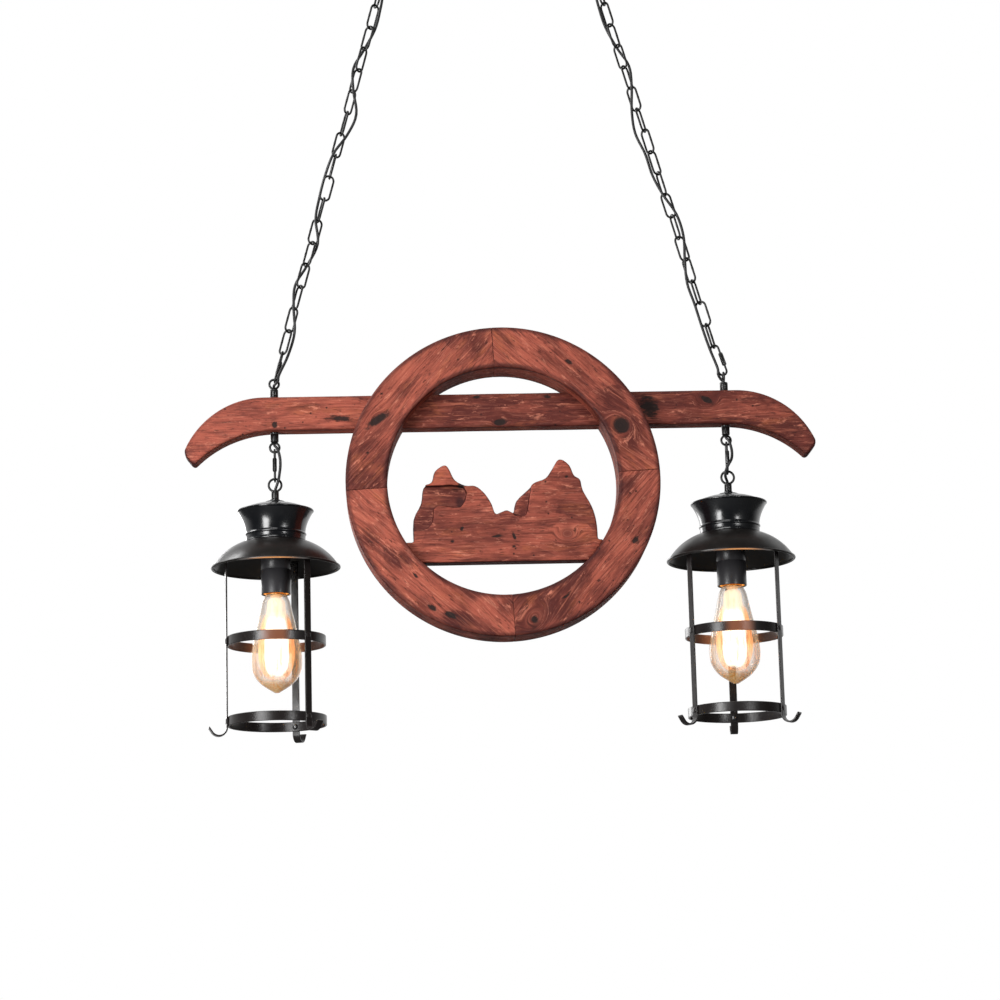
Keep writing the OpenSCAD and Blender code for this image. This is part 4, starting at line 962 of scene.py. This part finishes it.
# The lamp socket is a smooth black moulded shell with a shallow seam, screwed on the stem under
# the shade. A brass sleeve lines its mouth and carries a painted glow of bulb light, most orange
# at its lower end.
socket_black = black_finish("socket_shell", (0.034, 0.033, 0.036), (0.07, 0.07, 0.07), 0.36,
                            600, 0.00005)
socket_profile = mm(np.vstack([
    [[5, -148.2], [10.5, -148.2]], arc(9.5, -149.6, 1.5, 80, 10, 5), [[17.6, -159]],
    arc(16.9, -160.6, 1.6, 40, 0, 4), [[18.5, -164], [18.5, -175.8], [18.2, -176.1],
                                       [18.2, -176.5], [18.5, -176.8], [18.5, -205.8]],
    arc(17.6, -206.8, 0.9, 0, -180, 9), [[16.4, -204.5], [16.2, -190], [13.4, -181],
                                         [5, -180.5], [5, -155]]]))
sleeve_brass = Finish("sleeve_brass", 0.4, Metallic=1.0)
net = sleeve_brass
# Painted glow: the sleeve emits, orange at its mouth and dark red above.
painted_glow_share = net.ramp(net.spot("Z"), beam_low - 0.196, beam_low - 0.2065)
net.give(Base_Color=net.mix(net.noise(net.spot(), 300, 3), (0.8, 0.5, 0.2), (0.7, 0.42, 0.16)),
         Emission_Color=net.mix(painted_glow_share, (0.25, 0.05, 0.0), (1.0, 0.36, 0.05)),
         Emission_Strength=0.9)
share = np.linspace(0, 1, 33)
wall = np.column_stack([14.6 + 0.3 * np.cos(share * 8 * pi), -206.4 + 15 * share])
sleeve_profile = mm(np.vstack([wall, wall[::-1] + [0.8, 0]]))
for side in sides:
    piece(f"lamp_socket_{side}", [hung(turned_profile(socket_profile, 96), side)],
          f"lantern_{side}", socket_black, [f"socket_{side}"])
    piece(f"lamp_socket_sleeve_{side}", [hung(turned_profile(sleeve_profile, 72), side)],
          f"lantern_{side}", sleeve_brass)


# The cage is flat bar: three legs riveted outside two rolled rings, each leg's foot bent
# outward and up into an open hook. It has a satin black coat; the middle ring carries painted
# bulb light on its inner face and a painted glare on its front.
cage_coat, ring_coat = (
    black_finish(name, (0.012, 0.0092, 0.0088), (0.07, 0.065, 0.06), 0.30, 520, 0.00008)
    for name in ("cage_coat", "ring_coat"))
net = ring_coat
beside = net.sub(net.math("ABSOLUTE", net.spot("X")), eye_x)
aside = net.math("ABSOLUTE", beside)
away = net.node("VectorMath", {0: net.node("CombineXYZ", {
    0: beside, 1: net.spot("Y")}).outputs[0]}, operation="LENGTH").outputs["Value"]
# Painted bulb light on the middle ring's inner face beside the bulb, and painted glare on its
# front.
inner = net.mul(net.ramp(away, 0.0604, 0.0598), net.ramp(aside, 0.046, 0.022, 0.03, 0.22))
front = net.mul(net.ramp(net.spot("Y"), -0.050, -0.057), net.ramp(aside, 0.022, 0.008))
net.give(Emission_Color=(1.0, 0.34, 0.15),
         Emission_Strength=net.math("MAXIMUM", inner, net.mul(front, 0.24)))
cage_r, leg_in, bar, bar_round, leg_half, ring_half = 0.0614, 0.0616, 0.002, 0.0006, 0.00475, 0.006
leg_mid, hook_r = leg_in + bar / 2, 0.010
middle_z, lower_z = shade_z - 0.126, shade_z - 0.226
leg_high = dome_z + sqrt((shade_bow - sheet) ** 2 - (leg_in + bar - dome_x) ** 2) - 0.0003
leg_foot = lower_z - 0.008
hook = arc(leg_mid + hook_r, leg_foot, hook_r, 180, 324, 26)[1:]
hook_end = mm([4.4, 6.6]) * np.linspace(0.25, 1, 4)[:, None]
leg_path = np.vstack([np.stack([np.full(40, leg_mid), np.linspace(leg_high, leg_foot, 40)], 1),
                      hook, hook[-1] + hook_end])
along = direction(np.gradient(leg_path, axis=0))
flat = rounded_section(2, 7, bar_round, 3)
shrink = np.ones((len(leg_path), 1))
shrink[[0, -1]] = 0.8
thick = ((bar / 2 - bar_round) * flat[:, 0] + flat[:, 2]) * shrink
wide = ((leg_half - bar_round) * flat[:, 1] + flat[:, 3]) * (0.97 + 0.03 * shrink)
leg = np.stack([leg_path[:, :1] - along[:, 1:] * thick, wide,
                leg_path[:, 1:] + along[:, :1] * thick], -1)
hoop = rounded_section(1, 5, bar_round, 3)


def rolled_ring(z):
    """A flat bar on edge rolled to a circle: the rounded section turned about the Z axis."""
    r = cage_r - bar / 2 + (bar / 2 - bar_round) * hoop[:, 0] + hoop[:, 2]
    up = z + (ring_half - bar_round) * hoop[:, 1] + hoop[:, 3]
    return turned_profile(np.stack([r, up], 1), 160)


def rivets(side, shape):
    """Parts of the rivets through legs and rings: an outline turned about a line along X."""
    part = turned_profile(mm(shape), 28)
    return [hung(turned(np.stack([part[..., 2], part[..., 1], part[..., 0] + z], -1), a), side,
                 False) for a in spokes(3) for z in (middle_z, lower_z)]


dome = [[0.02, 56.8], [1.2, 56.9], [2.4, 57.4], [3.3, 58.2], [3.6, 59], [3.6, 59.5],
        [0.02, 59.6]]
shank = [[0.02, 59.5], [2, 59.6], [2, 63.5], [3.6, 63.6], [3.4, 64], [2.4, 64.3], [0.02, 64.4]]
rivet_steel = plated("rivet_steel", (0.16, 0.16, 0.16), 0.35)
for side in sides:
    body = f"lantern_{side}"
    piece(f"cage_legs_{side}", [hung(turned(leg, a), side, False) for a in spokes(3)], body,
          cage_coat, [f"legs_{side}"])
    for name, z, coat in (("middle_ring", middle_z, ring_coat),
                          ("lower_ring", lower_z, cage_coat)):
        piece(f"cage_{name}_{side}", [hung(rolled_ring(z), side)], body, coat,
              [f"{name}_{side}"])
    piece(f"cage_rivet_domes_{side}", rivets(side, dome), body, rivet_steel)
    piece(f"cage_rivets_{side}", rivets(side, shank), body, cage_coat,
          [f"rivets_{side}"])


# The bulb is amber tinted glass on a brass screw base. Its zigzag filament hangs on wire hooks
# round a glass mount, and is so bright that the air round it seems to glow.
glass_top, glass_len, bulb_r, glass_wall, curls = -0.209, 0.122, 0.032, 0.0009, 10
shares = np.array([[0, 0.42], [0.03, 0.49], [0.08, 0.56], [0.2, 0.66], [0.34, 0.78],
                   [0.44, 0.87], [0.56, 0.965], [0.67, 1], [0.77, 0.965], [0.85, 0.82],
                   [0.91, 0.62], [0.955, 0.38], [1, 0.1]])
outline = smooth_path(np.column_stack([shares[:, 1] * bulb_r, 0 * shares[:, 0],
                                       glass_top - shares[:, 0] * glass_len]), 8)[:, [0, 2]]
outline = np.vstack([[[0.0122, glass_top + 0.0004]], outline[1:],
                     [[0.0018, outline[-1, 1] - 0.0003], [0.0006, outline[-1, 1] - 0.0004]]])
inside = outline - np.column_stack([np.full(len(outline), glass_wall),
                                    -np.linspace(0, glass_wall, len(outline))])
inside[:, 0] = np.maximum(inside[:, 0], 0.0002)

# The amber glass is clearer where it is seen squarely. Low down it is warmer and streaked with
# orange, and at its tip it holds amber curls: painted glow and reflections of the filament.
amber = net = Finish("amber_glass", 0.03, IOR=1.45)
low_part = net.ramp(net.spot("Z"), beam_low - 0.250, beam_low - 0.290)
tip = net.ramp(net.spot("Z"), beam_low - 0.311, beam_low - 0.324)
painted_filament_streaks = net.mul(net.ramp(net.noise(net.spot(), (170, 170, 16), 4, 0.6), 0.50, 0.62), low_part)
# Painted curls of the glowing filament, shown at the glass's tip.
curl = net.ramp(net.noise(net.spot(), (420, 420, 260), 3, 0.6), 0.42, 0.58)
tint = net.mix(low_part, (0.52, 0.44, 0.37), (0.80, 0.62, 0.45))
tint = net.mix(painted_filament_streaks, tint, (0.78, 0.30, 0.07))
clear = net.ramp(net.node("LayerWeight", {"Blend": 0.5}).outputs["Facing"], 0.05, 0.80, 0.05,
                 0.50)
for mask, share in ((painted_filament_streaks, 0.36), (tip, 0.55)):
    clear = net.math("MAXIMUM", clear, net.mul(mask, share))
net.give(Base_Color=net.mix(tip, tint, net.mix(curl, (0.85, 0.62, 0.30), (0.80, 0.36, 0.07))),
         Alpha=clear)
net.bump(net.noise(net.spot(), 60, 2), 0.0001)

glow = net = Finish("filament_glow", 0.5)
heat = net.ramp(net.spot("Z"), beam_low - 0.315, beam_low - 0.290)
net.give(Base_Color=(1.0, 0.55, 0.2), Emission_Strength=5.0,
         Emission_Color=net.mix(heat, (1.0, 0.36, 0.05), (1.0, 0.74, 0.36)))


def glowing_air(name, high, low, strength, facing_of, depth_of):
    """A thin warm veil that stands for the glare round the filament. Its alpha follows how
    squarely it is seen, by facing_of, and how deep it lies under the glass's top, by depth_of:
    each row carries a span of the first to a span of the second."""
    net = Finish(name, 1.0, Specular_IOR_Level=0.0)
    deep = net.sub(beam_low + glass_top, net.spot("Z"))
    facing = net.node("LayerWeight", {"Blend": 0.5}).outputs["Facing"]
    seen = net.mul(net.node("LightPath").outputs["Is Camera Ray"],
                   net.ramp(net.noise(net.spot(), (230, 230, 18), 4), 0.35, 0.6, 0.7, 1.0))
    for value, spans in ((facing, facing_of), (deep, depth_of)):
        for span in spans:
            seen = net.mul(seen, net.ramp(value, *span))
    net.give(Base_Color=(1, 0.7, 0.4), Emission_Strength=strength, Alpha=seen,
             Emission_Color=net.mix(net.ramp(deep, 0.025, 0.036), high, low))
    return net


veil_inner = glowing_air("glare_inner", (0.66, 0.54, 0.43), (1.0, 0.985, 0.93), 1.3,
                         [(0.55, 0.92, 1.0, 0.0)],
                         [(0.001, 0.006, 0.0, 1.0), (0.026, 0.036, 0.65, 1.0),
                          (0.103, 0.093, 0.0, 1.0)])
veil_outer = glowing_air("glare_outer", (0.80, 0.34, 0.14), (0.78, 0.20, 0.045), 1.0,
                         [(0.20, 0.40, 0.0, 1.0), (0.75, 1.0, 1.0, 0.0)],
                         [(0.020, 0.038, 0.0, 0.95), (0.070, 0.088, 1.0, 0.45),
                          (0.108, 0.100, 0.0, 1.0)])
brass = plated("brass_base", (0.72, 0.53, 0.24), 0.3)
# The glass mount carries a painted glow of the filament's light, oranger toward the cap.
mount_glass = net = Finish("mount_glass", 0.08, IOR=1.45, Alpha=0.35)
painted_glow_share = net.ramp(net.spot("Z"), beam_low - 0.235, beam_low - 0.212)
net.give(Base_Color=net.mix(net.noise(net.spot(), 200, 3), (0.9, 0.85, 0.7), (1.0, 0.9, 0.75)),
         Emission_Color=net.mix(painted_glow_share, (1.0, 0.78, 0.42), (1.0, 0.42, 0.06)),
         Emission_Strength=0.8)


def on_circle(r, k, down):
    """A point by its radius, its tenth of a turn and its depth under the glass's top."""
    a = 2 * pi * k / curls
    return np.array([r * cos(a), r * sin(a), glass_top - down])


def under_top(rows, sides=64):
    """A profile in millimetres, with heights from the glass's top, turned round the stem."""
    return turned_profile(mm(rows) + [0, glass_top], sides)


zigzag = [on_circle(r, k, down) for k, (r, down) in enumerate(
    [(0.008, 0.030), (0.0095, 0.088)] * (curls // 2))]
path = np.vstack([zigzag[k] * (1 - s) + zigzag[k + 1] * s for k in range(curls - 1)
                  for s in (0, 0.02, 0.06, 0.5, 0.94, 0.98)] + [zigzag[-1]])
filament = tube(path, 0.0009, 8, direction(path * (1, 1, 0)))
shell = np.vstack([turned_profile(outline, 96), turned_profile(inside[::-1], 96)])
rod = under_top([[0.1, -92.5], [1.6, -92.2], [2.9, -90.5], [2, -84], [2, -34], [3.1, -29],
                 [2.4, -24], [3.2, -12], [5.5, -4], [7.8, -0.3], [0.1, -0.2]], 40)
wires = []
for k, (r, down) in enumerate([(0.0068, 0.030), (0.0083, 0.088)] * (curls // 2)):
    ends = [on_circle(0.0015, k, down), on_circle(r * 0.6, k, down - 0.0006),
            on_circle(r, k, down)]
    wires.append(tube(smooth_path(ends, 4), 0.0005, 6))
share = np.linspace(0, 1, 41)
thread = np.column_stack([12.6 + 0.4 * np.cos(share * 12 * pi), 0.6 + share * 19.6])
cap = under_top([[0.1, 0.3], [12.2, 0.3], *thread, [10.5, 21.2], [5.2, 21.6], [4.8, 23.8],
                 [0.1, 24.2]])
bells = [("inner", veil_inner, [[0.2, 3], [8, 3.5], [11.2, 8], [12.2, 18], [13.5, 28],
                                [15.2, 40], [15.4, 60], [15.2, 80], [13.2, 92], [8.5, 100.5],
                                [0.2, 104]]),
         ("outer", veil_outer, [[0.2, 14], [10, 16], [15, 24], [18.8, 36], [21.5, 50],
                                [22.8, 66], [22.6, 80], [19, 94], [11, 105], [0.2, 110]])]
for side in sides:
    body = f"bulb_{side}"
    piece(f"bulb_shell_{side}", [hung(shell, side)], body, amber,
          [f"bulb_glass_{side}"])
    piece(f"bulb_filament_{side}", [hung(filament, side, False)], body, glow,
          [f"filament_{side}"])
    piece(f"bulb_mount_{side}", [hung(r, side, False) for r in [rod] + wires], body,
          mount_glass, [f"bulb_stem_{side}"])
    piece(f"bulb_cap_{side}", [hung(cap, side, False)], body, brass,
          [f"bulb_base_{side}"])
    for name, veil, bell in bells:
        bell = smooth_path([[r, 0, -down] for r, down in bell], 5)[:, [0, 2]]
        piece(f"glare_{name}_{side}", [hung(under_top(bell), side, False)], body, veil)


# The canopy is a folded black steel tray on a zinc plated strap. Two screws and two nuts hold
# it up, two collared eyes carry the chains, and the cords enter through rubber grips.
def rounded_plan(long, wide, r, n=10):
    """A rounded rectangle's outline in XY."""
    parts = []
    for q, (sx, sy) in enumerate(((1, 1), (-1, 1), (-1, -1), (1, -1))):
        a = np.linspace(0, pi / 2, n) + q * pi / 2
        parts.append(np.stack([sx * (long / 2 - r) + r * np.cos(a),
                               sy * (wide / 2 - r) + r * np.sin(a)], 1))
    return np.vstack(parts)


levels = [(349.5, 59.5, 9.8, -0.2), (350, 60, 10, -0.8), (350, 60, 10, -23.2),
          (349.2, 59.2, 9.6, -24.2), (347.6, 57.6, 8.8, -24.9), (345.2, 55.2, 8, -25),
          (172, 28, 4, -25), (10, 2, 0.8, -25), (10, 2, 0.8, -23.8), (172, 28, 4, -23.8),
          (345, 55, 7.8, -23.8), (347.6, 57.6, 8.8, -22.8), (347.6, 57.6, 8.8, -0.2)]
tray = mm([np.column_stack([rounded_plan(a, b, r), np.full(40, z)]) for a, b, r, z in levels])
piece("canopy_tray", [skin(tray, closed=True)], "ceiling", gloss_paint,
      ["canopy"])
head = turned_profile(mm([[0.1, -27.8], [2, -27.9], [3.7, -27.2], [4.7, -26], [5, -25.2],
                          [5, -25], [2, -24.9], [2, -0.4]]), 40)
piece("canopy_screw_heads", [skin(head + [x, 0, 0]) for x in (-0.06, 0.06)], "ceiling",
      chain_paint, ["canopy_screws"])
down = (1, 1, -1)
neck = turned_profile(mm([[0.1, 0.2], [5.8, 0.2], [6, 0.6], [6, 1.4], [5.3, 2], [5.1, 6.2],
                          [4.6, 7.4], [3.6, 8], [0.1, 8]])) * down
shank = turned_profile(mm([[0.1, -0.2], [3, -0.2], [3, 6.2], [0.1, 6.4]]), 32)
nut = turned_profile(mm([[3, 1.2], [5.6, 1.2], [6, 1.8], [6, 5.6], [5.6, 6.2], [3, 6.2]]), 6)
for side in sides:
    rows = [(neck, False), (wire_loop(0.020, 0.0035, 0.0172) * down, True), (shank, False),
            (nut, True)]
    piece(f"canopy_eye_{side}",
          [skin(mirrored(r + [-hook_x, 0, -0.025], side), closed=c) for r, c in rows],
          "ceiling", chain_paint, [f"ceiling_eye_{side}"])
grip_rubber = black_finish("grip_rubber", (0.014, 0.014, 0.014), (0.06, 0.06, 0.06), 0.55, 700,
                           0.0001)
grip = turned_profile(mm([[1.9, -28], [4.2, -28], [5.1, -27.5], [5.5, -26.6], [5.5, -25.1],
                          [4, -25], [4, -23.8], [4, -20.2], [3.7, -20], [1.9, -20]]))
piece("canopy_grips", [skin(grip + [x, 0, 0], closed=True)
                       for x in (-hook_x + 0.02, hook_x - 0.02)],
      "ceiling", grip_rubber, ["cord_grips"])
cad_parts["ceiling_bracket"].data.materials[0] = zinc.material
moulded = Finish("terminal_plastic", 0.45)
moulded.give(Base_Color=moulded.mix(moulded.noise(moulded.spot(), 80, 4), (0.74, 0.74, 0.69),
                                    (0.82, 0.81, 0.76)))
moulded.bump(moulded.noise(moulded.spot(), 900, 2), 0.00006)
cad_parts["terminal_block"].data.materials[0] = moulded.material
